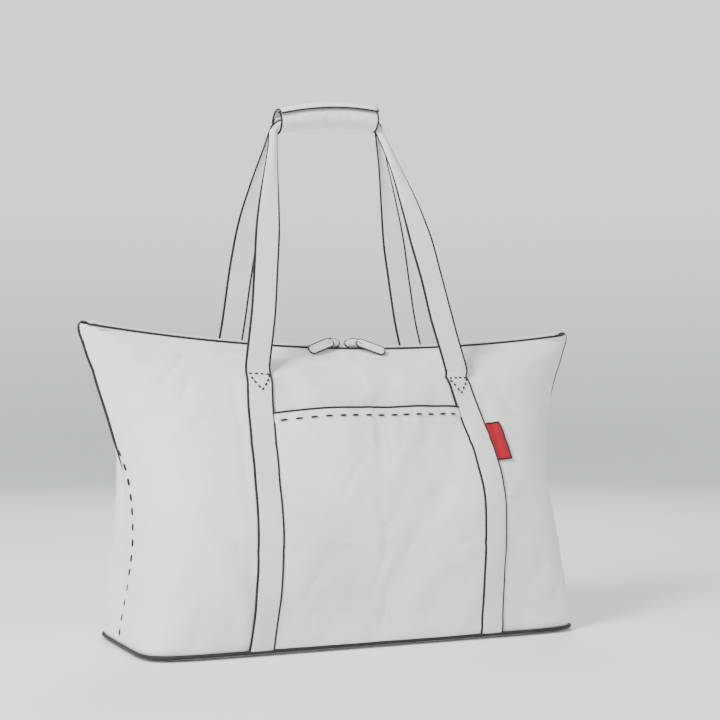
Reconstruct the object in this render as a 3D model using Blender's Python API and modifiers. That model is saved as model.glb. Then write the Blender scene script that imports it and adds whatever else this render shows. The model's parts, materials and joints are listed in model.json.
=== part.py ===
"""Foldable tote bag with a zip, two webbing handle loops, a wrap grip and a clip-on stow pouch.

Frame: metres, +Z up, X along the width, the front faces -Y. The origin is the middle of the
base, on the surface the bag stands on. Every sub-part is one closed solid in its own object.
"""

import math
from dataclasses import dataclass

import bmesh
import bpy
import numpy as np
from mathutils import Matrix, Vector

# Driving dimensions of the bag.
GAP = 0.0003
CLOTH = 0.0016
EAR_HALF_WIDTH = 0.326
RIDGE_HEIGHT = 0.349
EAR_RISE = 0.024
RIDGE_RADIUS = (EAR_HALF_WIDTH**2 + EAR_RISE**2) / (2 * EAR_RISE)
RIDGE_CENTRE = Vector((0, 0, RIDGE_HEIGHT + RIDGE_RADIUS))
BASE_INSET = 0.0024
COLUMNS = 26
ROWS = 15

# Webbing, grip and handle.
WEBBING = 0.031
WEBBING_THICK = 0.0016
STRAP_TOP_X = 0.129
STRAP_FOOT_X = 0.146
STRAP_TOP_Z = 0.312
GRIP_X = -0.019
GRIP_Z = 0.624
GRIP_LENGTH = 0.128
GRIP_RADIUS = 0.0160
GRIP_ARCH = 0.006
GRIP_SLOPE = 0.10
LOOP_GAP_Y = 0.0045
LIMB_BOW = 0.008
LIMB_LEAN = 0.010
FLAP_RADIUS = GRIP_RADIUS + 0.0017
FLAP_THICK = 0.0016
FLAP_ROOT = 120
FLAP_TIP = -42
HOOK_AND_LOOP = 0.0008
STRIP_INSET = 0.006

# Zip.
COIL_RADIUS = 0.0014
COIL_Y = 0.0023
TAPE_THICK = 0.0006
SLIDER_ANGLE = math.radians(0.38)
SLIDER_LENGTH = 0.0215
TAB_LENGTH = 0.036
TAB_WIDTH = 0.0105
TAB_THICK = 0.0016

# Stow pouch, as it hangs behind the back panel.
POUCH_WIDTH = 0.176
POUCH_HEIGHT = 0.232
POUCH_DEPTH = 0.0100
POUCH_WALL = 0.0014
POUCH_FLAP = 0.052
POUCH_TILT = math.radians(10.5)
POUCH_SET_OUT = 0.0042
LOOP_HALF = 0.0022
HOOK_TOP = Vector((0, 0.0865, 0.3070))
HOOK_WIRE = 0.0015
HOOK_RADIUS = 0.0062
RING_DROP = 0.0440
POUCH_DROP = 0.0600

PARTS = "foldable_tote_bag"


@dataclass(frozen=True)
class Station:
    """One level of the bag's body: height at mid width, half depth, half width, squareness."""

    height: float
    depth: float
    width: float
    square: float


STATIONS = (
    Station(0.0000, 0.1030, 0.264, 1.00),
    Station(0.0030, 0.1100, 0.272, 1.00),
    Station(0.0140, 0.1140, 0.276, 1.00),
    Station(0.0700, 0.1170, 0.270, 0.95),
    Station(0.1300, 0.1150, 0.266, 0.85),
    Station(0.1900, 0.1050, 0.272, 0.60),
    Station(0.2450, 0.0885, 0.288, 0.35),
    Station(0.3000, 0.0630, 0.307, 0.12),
    Station(0.3280, 0.0350, 0.3185, 0.03),
    Station(0.3410, 0.0125, 0.3235, 0.00),
)


def clear_scene():
    """Removes every object that the file holds."""
    for item in list(bpy.data.objects):
        bpy.data.objects.remove(item, do_unlink=True)


def collection(name):
    """Returns the named collection, made and linked to the scene if it is new."""
    found = bpy.data.collections.get(name)
    if found is None:
        found = bpy.data.collections.new(name)
        bpy.context.scene.collection.children.link(found)
    return found


def material(name, colour, roughness=0.7, metallic=0.0):
    """Returns a Principled material of one colour."""
    made = bpy.data.materials.get(name)
    if made is None:
        made = bpy.data.materials.new(name)
        made.use_nodes = True
        shader = made.node_tree.nodes["Principled BSDF"]
        shader.inputs["Base Color"].default_value = (*colour, 1)
        shader.inputs["Roughness"].default_value = roughness
        shader.inputs["Metallic"].default_value = metallic
    return made


def cloth():
    """White coated polyester of the bag and the pouch."""
    return material("cloth", (0.86, 0.86, 0.85), 0.65)


def webbing():
    """White woven webbing."""
    return material("webbing", (0.82, 0.82, 0.81), 0.8)


def lining():
    """Pale binding tape on the inner seams."""
    return material("binding", (0.72, 0.72, 0.71), 0.85)


def zip_cloth():
    """White zip tape and coil."""
    return material("zip", (0.78, 0.78, 0.78), 0.6)


def steel():
    """Grey cast metal of the hook and the ring."""
    return material("metal", (0.52, 0.53, 0.54), 0.3, 1.0)


def enamel():
    """White enamelled metal of the zip sliders."""
    return material("slider", (0.80, 0.80, 0.79), 0.35, 0.2)


def tab_finish():
    """White moulded pull tabs."""
    return material("pull", (0.84, 0.84, 0.83), 0.45)


def red():
    """Red woven side tags."""
    return material("tag", (0.62, 0.02, 0.06), 0.75)


def black():
    """Black webbing loop of the pouch."""
    return material("black_webbing", (0.02, 0.02, 0.02), 0.8)


def hook_tape():
    """Hook and loop strips under the grip's flap."""
    return material("hook_and_loop", (0.70, 0.70, 0.69), 0.95)


def place(name, mesh, finish, matrix=None, parent=None):
    """Links a mesh as the named sub-part, with its finish, placement and parent."""
    item = bpy.data.objects.new(name, mesh)
    collection(PARTS).objects.link(item)
    item.data.materials.clear()
    item.data.materials.append(finish)
    if parent is not None:
        item.parent = parent
    if matrix is not None:
        item.matrix_world = matrix
    return item


def joint_empty(name, point, parent=None):
    """Makes an empty that stands on a joint's axis."""
    item = bpy.data.objects.new(name, None)
    item.empty_display_size = 0.02
    collection(PARTS).objects.link(item)
    item.matrix_world = Matrix.Translation(point)
    if parent is not None:
        item.parent = parent
        item.matrix_parent_inverse = Matrix.Translation(-parent.matrix_world.translation)
    bpy.context.view_layer.update()
    return item


def ride(item, empty):
    """Parents a sub-part to its joint's empty and keeps it where it is."""
    item.parent = empty
    item.matrix_parent_inverse = Matrix.Translation(-empty.matrix_world.translation)
    return item


def grid_mesh(name, rows):
    """Makes an open sheet of quads from rows of points of equal length."""
    mesh = bpy.data.meshes.new(name)
    work = bmesh.new()
    verts = [[work.verts.new(point) for point in row] for row in rows]
    for low, high in zip(verts, verts[1:]):
        for i in range(len(low) - 1):
            work.faces.new((low[i], low[i + 1], high[i + 1], high[i]))
    work.to_mesh(mesh)
    work.free()
    return mesh


def sheet(name, rows, thick, finish, offset=-1.0):
    """Makes a closed sheet part: a surface thickened to one side of its faces."""
    item = place(name, grid_mesh(name, rows), finish)
    solid = item.modifiers.new("thickness", "SOLIDIFY")
    solid.thickness = thick
    solid.offset = offset
    solid.use_even_offset = True
    solid.use_quality_normals = True
    item.data.shade_smooth()
    item.data.set_sharp_from_angle(angle=math.radians(50))
    return item


def bevel(item, width, segments=2):
    """Rounds an object's edges."""
    edge = item.modifiers.new("rounding", "BEVEL")
    edge.width = width
    edge.segments = segments
    edge.limit_method = "ANGLE"
    edge.angle_limit = math.radians(40)


def smooth_row(values, share):
    """Reads a list of numbers at a share from 0 to 1 with a Catmull-Rom curve."""
    spot = share * (len(values) - 1)
    i = min(int(spot), len(values) - 2)
    t = spot - i
    a = values[max(i - 1, 0)]
    b = values[i]
    c = values[i + 1]
    d = values[min(i + 2, len(values) - 1)]
    return 0.5 * (2 * b + (c - a) * t + (2 * a - 5 * b + 4 * c - d) * t**2 + (3 * b - a - 3 * c + d) * t**3)


def station_at(height):
    """Returns the body's station at a height of the mid section, smoothly between the given ones."""
    heights = [s.height for s in STATIONS]
    share = float(np.interp(height, heights, np.linspace(0, 1, len(heights))))
    read = lambda key: smooth_row([getattr(s, key) for s in STATIONS], share)
    return Station(height, read("depth"), read("width"), min(max(read("square"), 0.0), 1.0))


def ridge_z(x):
    """Height of the curved top edge at a distance from the middle."""
    return RIDGE_CENTRE.z - math.sqrt(RIDGE_RADIUS**2 - x**2)


def seam_inset(height):
    """Distance of each panel's outer face from the seam plane: a butt joint low down, flat ears above."""
    rise = min(max((height - 0.12) / 0.10, 0.0), 1.0)
    return GAP + (CLOTH + GAP) * rise * rise * (3 - 2 * rise)


def section_depth(station, x):
    """Distance of the outer face from the seam plane at x, for the panel at one station."""
    share = min(abs(x) / station.width, 1.0)
    power = 2.4 + 9.0 * station.square
    root = 1.0 - 0.86 * station.square
    lens = (1 - share**power) ** root
    top = min(max((station.height - 0.265) / 0.076, 0.0), 1.0) ** 2
    flat = 1 - share**14
    return seam_inset(station.height) + station.depth * (lens * (1 - top) + flat * top)


def front_point(x, height, out=0.0):
    """A point on the front panel's outer face, moved outwards along its normal."""
    station = station_at(height)
    point = Vector((x, -section_depth(station, x), height * ridge_z(x) / RIDGE_HEIGHT))
    if out == 0.0:
        return point
    step = 0.002
    up = station_at(min(height + step, STATIONS[-1].height))
    down = station_at(max(height - step, 0.0))
    above = Vector((x, -section_depth(up, x), up.height * ridge_z(x) / RIDGE_HEIGHT))
    below = Vector((x, -section_depth(down, x), down.height * ridge_z(x) / RIDGE_HEIGHT))
    right = Vector((x + step, -section_depth(station, x + step), point.z))
    left = Vector((x - step, -section_depth(station, x - step), point.z))
    normal = (right - left).cross(above - below).normalized()
    return point + normal * out


def section_row(height, columns, inset=0.0):
    """Points along one level of the front panel, even by length, from seam to seam."""
    station = station_at(height)
    station = Station(height, station.depth - inset, station.width - inset, station.square)
    angles = np.linspace(math.pi, 0.0, 721)
    power = 2.4 + 9.0 * station.square
    x = station.width * np.sign(np.cos(angles)) * np.abs(np.cos(angles)) ** (2 / power)
    y = np.array([section_depth(station, value) for value in x])
    run = np.concatenate(([0.0], np.cumsum(np.hypot(np.diff(x), np.diff(y)))))
    even = np.linspace(0, run[-1], columns + 1)
    return [(float(np.interp(s, run, x)), float(-np.interp(s, run, y))) for s in even]


def levels(count):
    """Heights from the base seam to the top hem, closer together where the body curves most."""
    heights = [s.height for s in STATIONS]
    shares = np.linspace(0, 1, count + 1)
    return [float(h) for h in np.interp(shares, np.linspace(0, 1, len(heights)), heights)]


def panel_rows():
    """Rows of the front panel's outer face, from the base seam to the top hem."""
    rows = []
    for height in levels(ROWS):
        row = section_row(height, COLUMNS)
        rows.append([(x, y, height * ridge_z(x) / RIDGE_HEIGHT) for x, y in row])
    return rows


def flipped(rows):
    """The same rows mirrored to the back, kept facing outwards."""
    return [[(-x, -y, z) for x, y, z in row] for row in rows]


def make_panels():
    """Front and back panels, each wrapping half of both gussets, and the base panel."""
    rows = panel_rows()
    sheet("front_panel", rows, CLOTH, cloth())
    sheet("back_panel", flipped(rows), CLOTH, cloth())
    foot = section_row(0.0, 20, BASE_INSET)
    outline = [(x, y) for x, y in foot[1:-1]]
    outline += [(-x, -y) for x, y in outline]
    flat_part("base_panel", outline, CLOTH, cloth(), Matrix.Translation((0, 0, CLOTH / 2)))


def flat_part(name, outline, thick, finish, matrix, holes=()):
    """Makes a flat part from an outline in its own XY plane, centred on its thickness."""
    curve = bpy.data.curves.new(name, "CURVE")
    curve.dimensions = "2D"
    curve.fill_mode = "BOTH"
    curve.extrude = thick / 2
    for loop in (outline, *holes):
        spline = curve.splines.new("POLY")
        spline.points.add(len(loop) - 1)
        for point, (x, y) in zip(spline.points, loop):
            point.co = (x, y, 0, 1)
        spline.use_cyclic_u = True
    return curve_to_mesh(name, curve, finish, matrix)


def curve_to_mesh(name, curve, finish, matrix=None):
    """Turns a curve into a welded mesh part."""
    source = bpy.data.objects.new(name + "_curve", curve)
    collection(PARTS).objects.link(source)
    bpy.context.view_layer.update()
    ready = source.evaluated_get(bpy.context.evaluated_depsgraph_get())
    mesh = bpy.data.meshes.new_from_object(ready)
    bpy.data.objects.remove(source, do_unlink=True)
    work = bmesh.new()
    work.from_mesh(mesh)
    bmesh.ops.remove_doubles(work, verts=work.verts, dist=0.00001)
    bmesh.ops.recalc_face_normals(work, faces=work.faces)
    work.to_mesh(mesh)
    work.free()
    mesh.name = name
    mesh.shade_smooth()
    mesh.set_sharp_from_angle(angle=math.radians(40))
    return place(name, mesh, finish, matrix)


def wire_part(name, points, radius, finish, cyclic=False, resolution=1):
    """Makes a round wire or cord along a list of points."""
    curve = bpy.data.curves.new(name, "CURVE")
    curve.dimensions = "3D"
    curve.bevel_depth = radius
    curve.bevel_resolution = resolution
    curve.use_fill_caps = True
    spline = curve.splines.new("POLY")
    spline.points.add(len(points) - 1)
    for point, place_at in zip(spline.points, points):
        point.co = (*place_at, 1)
    spline.use_cyclic_u = cyclic
    return curve_to_mesh(name, curve, finish)


def stadium(length, width, segments=6, start=0.0):
    """Outline of a bar with round ends along +X from start, centred on Y."""
    radius = width / 2
    points = []
    for centre, first in ((start + length - radius, -90), (start + radius, 90)):
        for i in range(segments + 1):
            angle = math.radians(first + 180 * i / segments)
            points.append((centre + radius * math.cos(angle), radius * math.sin(angle)))
    return points


def rounded_box(width, height, radius, segments=4):
    """Outline of a rectangle with round corners, centred on the origin."""
    points = []
    for sx, sy, first in ((1, -1, -90), (1, 1, 0), (-1, 1, 90), (-1, -1, 180)):
        for i in range(segments + 1):
            angle = math.radians(first + 90 * i / segments)
            x = sx * (width / 2 - radius) + radius * math.cos(angle)
            y = sy * (height / 2 - radius) + radius * math.sin(angle)
            points.append((x, y))
    return points


def make_seam_tapes():
    """Binding tapes on the raw edges inside the two side seams."""
    for side, name in ((-1, "side_seam_tape_left"), (1, "side_seam_tape_right")):
        rows = []
        for height in np.linspace(0.010, 0.235, 12):
            station = station_at(height)
            x = side * (station.width - CLOTH - 0.0012 - 0.006 * station_slope(height))
            z = height * ridge_z(x) / RIDGE_HEIGHT
            rows.append([(x, -0.0030 * side, z), (x, 0.0030 * side, z)])
        sheet(name, rows, 0.0010, lining())


def station_slope(height):
    """How far the seam has turned into the flat ear: 0 on the gusset, 1 on the ear."""
    return min(max((height - 0.15) / 0.09, 0.0), 1.0)


def strap_x(height):
    """Centre line of the right front strap along the panel."""
    share = height / STRAP_TOP_Z
    return STRAP_FOOT_X + (STRAP_TOP_X - STRAP_FOOT_X) * share**3


def make_sewn_straps():
    """Four webbing lengths sewn to the panels from the base seam to the stitched triangle."""
    heights = [h for h in levels(2 * ROWS) if 0.006 < h < STRAP_TOP_Z - 0.009] + [STRAP_TOP_Z - 0.004]
    for side, word in ((-1, "left"), (1, "right")):
        rows = []
        for height in heights:
            x = side * strap_x(height)
            edges = (x - WEBBING / 2, x, x + WEBBING / 2)
            rows.append([front_point(at, height, WEBBING_THICK + 4 * GAP) for at in edges])
        sheet(f"front_strap_{word}", rows, WEBBING_THICK, webbing())
        other = "right" if side < 0 else "left"
        back = [[(-p.x, -p.y, p.z) for p in row] for row in rows]
        sheet(f"back_strap_{other}", back, WEBBING_THICK, webbing())


def make_pocket():
    """Front slip pocket: a panel between the straps that gapes a little at its hemmed mouth."""
    rows = []
    for height in (0.0075, 0.013, 0.04, 0.09, 0.14, 0.19, 0.225, 0.252, 0.268):
        mouth = max((height - 0.15) / 0.118, 0.0)
        edge = strap_x(height) - WEBBING / 2 - 0.0008
        row = []
        for share in np.linspace(-1, 1, 11):
            gape = 0.0105 * mouth**1.4 * (1 - abs(share) ** 3)
            row.append(front_point(share * edge, height, 0.0015 + 2 * GAP + gape))
        rows.append(row)
    sheet("front_pocket", rows, 0.0012, cloth())


def free_route(side, face, samples=12):
    """Centre points of a free handle limb from its stitched foot to the grip's end."""
    foot = front_point(side * STRAP_TOP_X, STRAP_TOP_Z, 2 * WEBBING_THICK)
    foot = Vector((foot.x, face * abs(foot.y), foot.z + 0.0010))
    reach = side * (GRIP_LENGTH / 2 + 0.0080)
    top = Vector((GRIP_X + reach, face * LOOP_GAP_Y, GRIP_Z + GRIP_SLOPE * reach - 0.004))
    points = []
    for i in range(samples + 1):
        t = i / samples
        line = foot.lerp(top, t)
        bow = LIMB_BOW * math.sin(math.pi * t) * t
        lean = LIMB_LEAN * math.sin(math.pi * t)
        points.append(Vector((line.x + side * bow, line.y + face * lean, line.z)))
    return points


def ribbon_rows(points, half_width, face, twist_top=0.0):
    """Two-edged rows of a webbing that follows points, its width across the route."""
    rows = []
    for i, point in enumerate(points):
        ahead = points[min(i + 1, len(points) - 1)]
        behind = points[max(i - 1, 0)]
        along = (ahead - behind).normalized()
        share = i / (len(points) - 1)
        across = Vector((1, 0, 0)) - along * along.x
        across.normalize()
        width = half_width * (1 - twist_top * share**2)
        pair = [point - across * width, point, point + across * width]
        rows.append(pair if face < 0 else pair[::-1])
    return rows


def make_free_limbs():
    """The four free handle limbs between the panels and the grip."""
    for face, word in ((-1, "front"), (1, "back")):
        for side, hand in ((-1, "left"), (1, "right")):
            points = free_route(side, face)
            rows = ribbon_rows(points, WEBBING / 2, face, 0.62)
            sheet(f"{word}_limb_{hand}", rows, WEBBING_THICK, webbing())


def grip_centre(x):
    """Centre line of the grip, arched up a little in the middle."""
    share = x / (GRIP_LENGTH / 2)
    return Vector((GRIP_X + x, 0, GRIP_Z + GRIP_SLOPE * x + GRIP_ARCH * (1 - share**2)))


def arc_shell(name, radius, thick, start, end, half_length, finish, columns=8, steps=18):
    """Part of a tube around the grip's centre line, from one angle to another, seen from +X."""
    rows = []
    for j in range(steps + 1):
        angle = math.radians(start + (end - start) * j / steps)
        row = []
        for x in np.linspace(-half_length, half_length, columns + 1):
            centre = grip_centre(x)
            row.append((centre.x, radius * math.sin(angle), centre.z + radius * math.cos(angle)))
        rows.append(row)
    return sheet(name, rows, thick, finish)


def make_grip(handle, flap):
    """Both loops' top runs, and the padded wrap with its hook-and-loop flap that joins them."""
    for face, word in ((-1, "front"), (1, "back")):
        rows = []
        for x in np.linspace(-GRIP_LENGTH / 2 - 0.001, GRIP_LENGTH / 2 + 0.001, 9):
            centre = grip_centre(x)
            y = face * LOOP_GAP_Y
            rows.append([(centre.x, y, centre.z - 0.0058 * face), (centre.x, y, centre.z + 0.0058 * face)])
        ride(sheet(f"{word}_loop_top", rows[::-1], WEBBING_THICK, webbing()), handle)
    half = GRIP_LENGTH / 2
    ride(arc_shell("grip_wrap", GRIP_RADIUS - 0.0024, 0.0035, 55, 355, half, cloth()), handle)
    strip = half - STRIP_INSET
    tape = hook_tape()
    fuzzy = arc_shell("grip_loop_strip", GRIP_RADIUS - 0.0013, HOOK_AND_LOOP, 320, 352, strip, tape, 8, 6)
    ride(fuzzy, handle)
    hooked = arc_shell("grip_hook_strip", GRIP_RADIUS - 0.0002, HOOK_AND_LOOP, 322, 350, strip, tape, 8, 6)
    ride(hooked, flap)
    half += 0.001
    cover = arc_shell("grip_flap", FLAP_RADIUS, FLAP_THICK, FLAP_TIP, FLAP_ROOT, half, cloth(), 8, 14)
    ride(cover, flap)


def ridge_point(x, lift=0.0, y=0.0):
    """A point over the ridge line, lifted towards the ridge's centre of curvature."""
    angle = math.asin(x / RIDGE_RADIUS)
    radius = RIDGE_RADIUS - lift
    return Vector((radius * math.sin(angle), y, RIDGE_CENTRE.z - radius * math.cos(angle)))


def make_zip():
    """Zip tapes and coils along the ridge, with a stop at each end."""
    for face, word in ((-1, "front"), (1, "back")):
        stations = np.linspace(-0.304, 0.304, 25)
        coil = [ridge_point(x, 0.0, face * COIL_Y) for x in stations]
        wire_part(f"zip_coil_{word}", coil, COIL_RADIUS, zip_cloth())
        inner = [ridge_point(x, -0.0005, face * 0.0042) for x in stations]
        outer = [ridge_point(x, -0.0062, face * 0.0113) for x in stations]
        order = (outer, inner) if face < 0 else (inner, outer)
        rows = [list(pair) for pair in zip(*order)]
        sheet(f"zip_tape_{word}", [row[::-1] for row in rows], TAPE_THICK, zip_cloth())
    for side, word in ((-1, "left"), (1, "right")):
        centre = ridge_point(side * 0.3085, 0.0005)
        work = bmesh.new()
        bmesh.ops.create_cube(work, size=1.0)
        bmesh.ops.scale(work, vec=(0.0060, 0.0080, 0.0040), verts=work.verts)
        mesh = bpy.data.meshes.new(f"zip_stop_{word}")
        work.to_mesh(mesh)
        work.free()
        turn = Matrix.Rotation(-math.asin(side * 0.3085 / RIDGE_RADIUS), 4, "Y")
        item = place(f"zip_stop_{word}", mesh, zip_cloth(), Matrix.Translation(centre) @ turn)
        bevel(item, 0.0008)


def slider_mesh(name):
    """Slider body: a domed cap and a lower plate joined by a web between the coils."""
    work = bmesh.new()
    sections = []
    for share in (-1.0, -0.86, -0.5, 0.0, 0.5, 0.86, 1.0):
        x = share * SLIDER_LENGTH / 2
        round_off = math.sqrt(max(1 - (abs(share) * 0.93) ** 2, 0.0))
        half = 0.0019 + 0.0050 * round_off
        top = 0.0030 + 0.0062 * round_off
        right = [(0.0005, 0.0024), (half, 0.0024), (half, 0.0042)]
        right += [(half * 0.72, top - 0.0010), (half * 0.3, top)]
        left = [(-y, z) for y, z in right[::-1]]
        low = [(-0.0005, -0.0026), (-half * 0.8, -0.0026), (-half * 0.8, -0.0042)]
        low += [(-y, z) for y, z in low[::-1]]
        sections.append([work.verts.new((x, y, z)) for y, z in right + left + low])
    count = len(sections[0])
    for near, far in zip(sections, sections[1:]):
        for i in range(count):
            work.faces.new((near[i], near[(i + 1) % count], far[(i + 1) % count], far[i]))
    work.faces.new(sections[0][::-1])
    work.faces.new(sections[-1])
    bmesh.ops.recalc_face_normals(work, faces=work.faces)
    mesh = bpy.data.meshes.new(name)
    work.to_mesh(mesh)
    work.free()
    return mesh


def tab_frame(side):
    """Place and directions of a pull tab: its pivot, its length, its face and its pin."""
    pivot = ridge_point(side * (RIDGE_RADIUS * math.sin(SLIDER_ANGLE) + 0.0030), 0.0052, -0.0108)
    along = Vector((side * 0.90, -0.25, -0.335)).normalized()
    face = Vector((0, -0.86, 0.51))
    face = (face - along * face.dot(along)).normalized()
    return pivot, along, face


def make_sliders():
    """Two zip sliders with their bails and pull tabs, meeting in the middle."""
    for side, word in ((-1, "left"), (1, "right")):
        angle = side * SLIDER_ANGLE
        body = joint_empty(f"slider_axis_{word}", RIDGE_CENTRE)
        spot = ridge_point(RIDGE_RADIUS * math.sin(angle))
        turn = Matrix.Translation(spot) @ Matrix.Rotation(-angle, 4, "Y")
        slider = place(f"zip_slider_{word}", slider_mesh(f"zip_slider_{word}"), enamel(), turn)
        slider.data.shade_smooth()
        slider.data.set_sharp_from_angle(angle=math.radians(45))
        ride(slider, body)
        pivot, along, face = tab_frame(side)
        bail = []
        for i in range(9):
            swing = math.radians(-20 + 220 * i / 8)
            bail.append(pivot + along * 0.0030 * math.cos(swing) + face * 0.0030 * math.sin(swing))
        wire = wire_part(f"slider_bail_{word}", bail, 0.0006, enamel())
        ride(wire, body)
        across = face.cross(along)
        frame = Matrix.Translation(pivot) @ Matrix((along, across, face)).transposed().to_4x4()
        tab_axis = joint_empty(f"tab_axis_{word}", pivot, body)
        hole = rounded_box(0.0052, 0.0044, 0.0009, 2)
        hole = [(x + 0.00345, y) for x, y in hole]
        outline = stadium(TAB_LENGTH, TAB_WIDTH, 8, -0.0010)
        tab = flat_part(f"pull_tab_{word}", outline, TAB_THICK, tab_finish(), frame, [hole])
        ride(tab, tab_axis)


def make_side_tag():
    """Red woven tag under the outer edge of the right front strap."""
    rows = []
    for height in (0.207, 0.229, 0.251):
        start = strap_x(height) + WEBBING / 2 + 0.0006
        rows.append([front_point(start + step, height, 0.0016) for step in (0.0, 0.010, 0.020)])
    sheet("side_tag", rows, 0.0010, red())


def pouch_matrix(origin):
    """Frame of the hanging pouch: X across, Y up the pouch, Z outwards from the bag's back."""
    outwards = Vector((0, math.cos(POUCH_TILT), math.sin(POUCH_TILT)))
    up = Vector((0, -math.sin(POUCH_TILT), math.cos(POUCH_TILT)))
    across = up.cross(outwards)
    return Matrix.Translation(origin) @ Matrix((across, up, outwards)).transposed().to_4x4()


def strip_part(name, frame, path, half_widths, thick, finish):
    """A tape bent along a path of (up, outwards) points, its width across the frame's X."""
    rows = []
    for (up, out), half in zip(path, half_widths):
        rows.append([frame @ Vector((-half, up, out)), frame @ Vector((half, up, out))])
    return sheet(name, rows, thick, finish)


def make_keeper_loop():
    """Tape sewn under the back's top hem, folded into a small eye that holds the snap hook."""
    frame = Matrix.Translation(HOOK_TOP) @ Matrix(((-1, 0, 0), (0, 0, 1), (0, 1, 0))).to_4x4()
    path = []
    for height in (0.334, 0.327, 0.319):
        point = front_point(0, height, 0.0016)
        path.append((point.z - HOOK_TOP.z, -point.y - HOOK_TOP.y))
    for i in range(11):
        angle = math.radians(120 - 290 * i / 10)
        path.append((0.0034 * math.sin(angle), 0.0034 * math.cos(angle)))
    halves = [0.0045] * 3 + [0.0026] * 11
    strip_part("keeper_loop", frame, path, halves, 0.0008, webbing())


def make_snap_hook(frame, hook):
    """Snap hook with its sprung gate and its swivel stud."""
    path = []
    for i in range(15):
        angle = math.radians(-35 + 250 * i / 14)
        path.append((HOOK_RADIUS * math.cos(angle), HOOK_RADIUS * (math.sin(angle) - 1)))
    path += [(-0.0050, -0.0202), (-0.0030, -0.0267), (0.0, -0.0297)]
    route = [frame @ Vector((x, y, 0)) for x, y in path]
    ride(wire_part("snap_hook", route, HOOK_WIRE, steel(), resolution=2), hook)
    root = Vector((0.0012, -0.0270, 0))
    tip = Vector((0.0054, -0.0128, 0))
    gate_axis = joint_empty("gate_axis", frame @ root, hook)
    gate = [frame @ tip.lerp(root, share) for share in (0.0, 0.5, 0.86)]
    ride(wire_part("snap_hook_gate", gate, 0.0010, steel()), gate_axis)
    stud = [frame @ Vector((0, y, 0)) for y in (-0.0317, -0.0337, -0.0362)]
    ride(wire_part("hook_swivel", stud, 0.0020, steel(), resolution=2), hook)


def make_ring(frame, ring_axis):
    """Oval ring between the hook's stud and the pouch's loop."""
    route = []
    for i in range(20):
        angle = 2 * math.pi * i / 20
        route.append(frame @ Vector((0.0093 * math.cos(angle), 0.0062 * math.sin(angle) - RING_DROP, 0)))
    ride(wire_part("oval_ring", route, 0.0013, steel(), True), ring_axis)


def make_pouch():
    """Stow pouch hung behind the bag: keeper loop, snap hook, ring, webbing loop and pouch."""
    frame = pouch_matrix(HOOK_TOP)
    make_keeper_loop()
    hook = joint_empty("hook_axis", HOOK_TOP)
    make_snap_hook(frame, hook)
    ring_axis = joint_empty("ring_axis", frame @ Vector((0, -RING_DROP + 0.0062, 0)), hook)
    make_ring(frame, ring_axis)
    pouch_axis = joint_empty("pouch_axis", frame @ Vector((0, -RING_DROP - 0.0062, 0)), ring_axis)
    throat = -RING_DROP - 0.0050
    path = [(-POUCH_DROP - 0.0080, -LOOP_HALF)]
    for i in range(7):
        angle = math.radians(180 - 30 * i)
        path.append((throat + 0.0034 * math.sin(angle), LOOP_HALF * math.cos(angle)))
    path.append((-POUCH_DROP - 0.0080, LOOP_HALF))
    halves = [0.0065 + 0.0030 * max((-up - RING_DROP - 0.005) / 0.019, 0.0) for up, out in path]
    ride(strip_part("pouch_loop", frame, path, halves, 0.0009, black()), pouch_axis)
    build_pouch_body(frame @ Matrix.Translation((0, -POUCH_DROP, POUCH_SET_OUT)), pouch_axis)


def pouch_front_rows(frame):
    """Rows of the pouch's front: sewn to the back at the sides and foot, open at the top."""
    half = POUCH_WIDTH / 2
    shares = (-1.0, -0.975, -0.93, -0.5, 0.0, 0.5, 0.93, 0.975, 1.0)
    rows = []
    for down in (0.006, 0.036, 0.106, 0.186, 0.224, POUCH_HEIGHT - 0.0005):
        row = []
        for share in shares:
            lift = 0.0 if abs(share) > 0.99 or down > 0.225 else 1.0
            lift *= 0.5 if abs(share) > 0.96 else 1.0
            out = POUCH_WALL / 2 + GAP + 0.0012 + (POUCH_DEPTH - 0.0024) * lift
            row.append(frame @ Vector((share * half, -down, out)))
        rows.append(row)
    return rows


def build_pouch_body(frame, pouch_axis):
    """The pouch's back, front, flap and side tag; the frame's origin is its top edge."""
    half = POUCH_WIDTH / 2
    middle = Matrix.Translation((0, -POUCH_HEIGHT / 2, 0))
    outline = rounded_box(POUCH_WIDTH, POUCH_HEIGHT, 0.007)
    ride(flat_part("pouch_back", outline, POUCH_WALL, cloth(), frame @ middle), pouch_axis)
    ride(sheet("pouch_front", pouch_front_rows(frame), 0.0012, cloth()), pouch_axis)
    flap_axis = joint_empty("flap_axis", frame @ Vector((0, 0.0006, 0.0020)), pouch_axis)
    front = POUCH_DEPTH + 0.0028
    path = [(0.0020, 0.0012), (0.0024, front - 0.0010), (0.0008, front)]
    path += [(-POUCH_FLAP + 0.006, front + 0.0004), (-POUCH_FLAP, front + 0.0004)]
    halves = [half, half, half, half - 0.023, half - 0.031]
    ride(strip_part("pouch_flap", frame, path, halves, 0.0012, cloth()), flap_axis)
    beside = Matrix.Translation((-half - 0.0083, -0.178, 0))
    outline = rounded_box(0.016, 0.041, 0.0008, 2)
    ride(flat_part("pouch_tag", outline, 0.0012, red(), frame @ beside), pouch_axis)


def main():
    """Builds the bag from its base to the pouch behind it."""
    clear_scene()
    make_panels()
    make_seam_tapes()
    make_sewn_straps()
    make_pocket()
    make_free_limbs()
    handle = joint_empty("handle_axis", Vector((0, 0, STRAP_TOP_Z)))
    root = math.radians(FLAP_ROOT)
    flap_line = Vector((GRIP_X, FLAP_RADIUS * math.sin(root), GRIP_Z + FLAP_RADIUS * math.cos(root)))
    flap = joint_empty("grip_flap_axis", flap_line, handle)
    make_grip(handle, flap)
    make_zip()
    make_sliders()
    make_side_tag()
    make_pouch()


main()
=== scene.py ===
"""Looks of a foldable tote bag: white cloth, black piping and stitches, webbing handles, stow pouch."""

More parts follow.
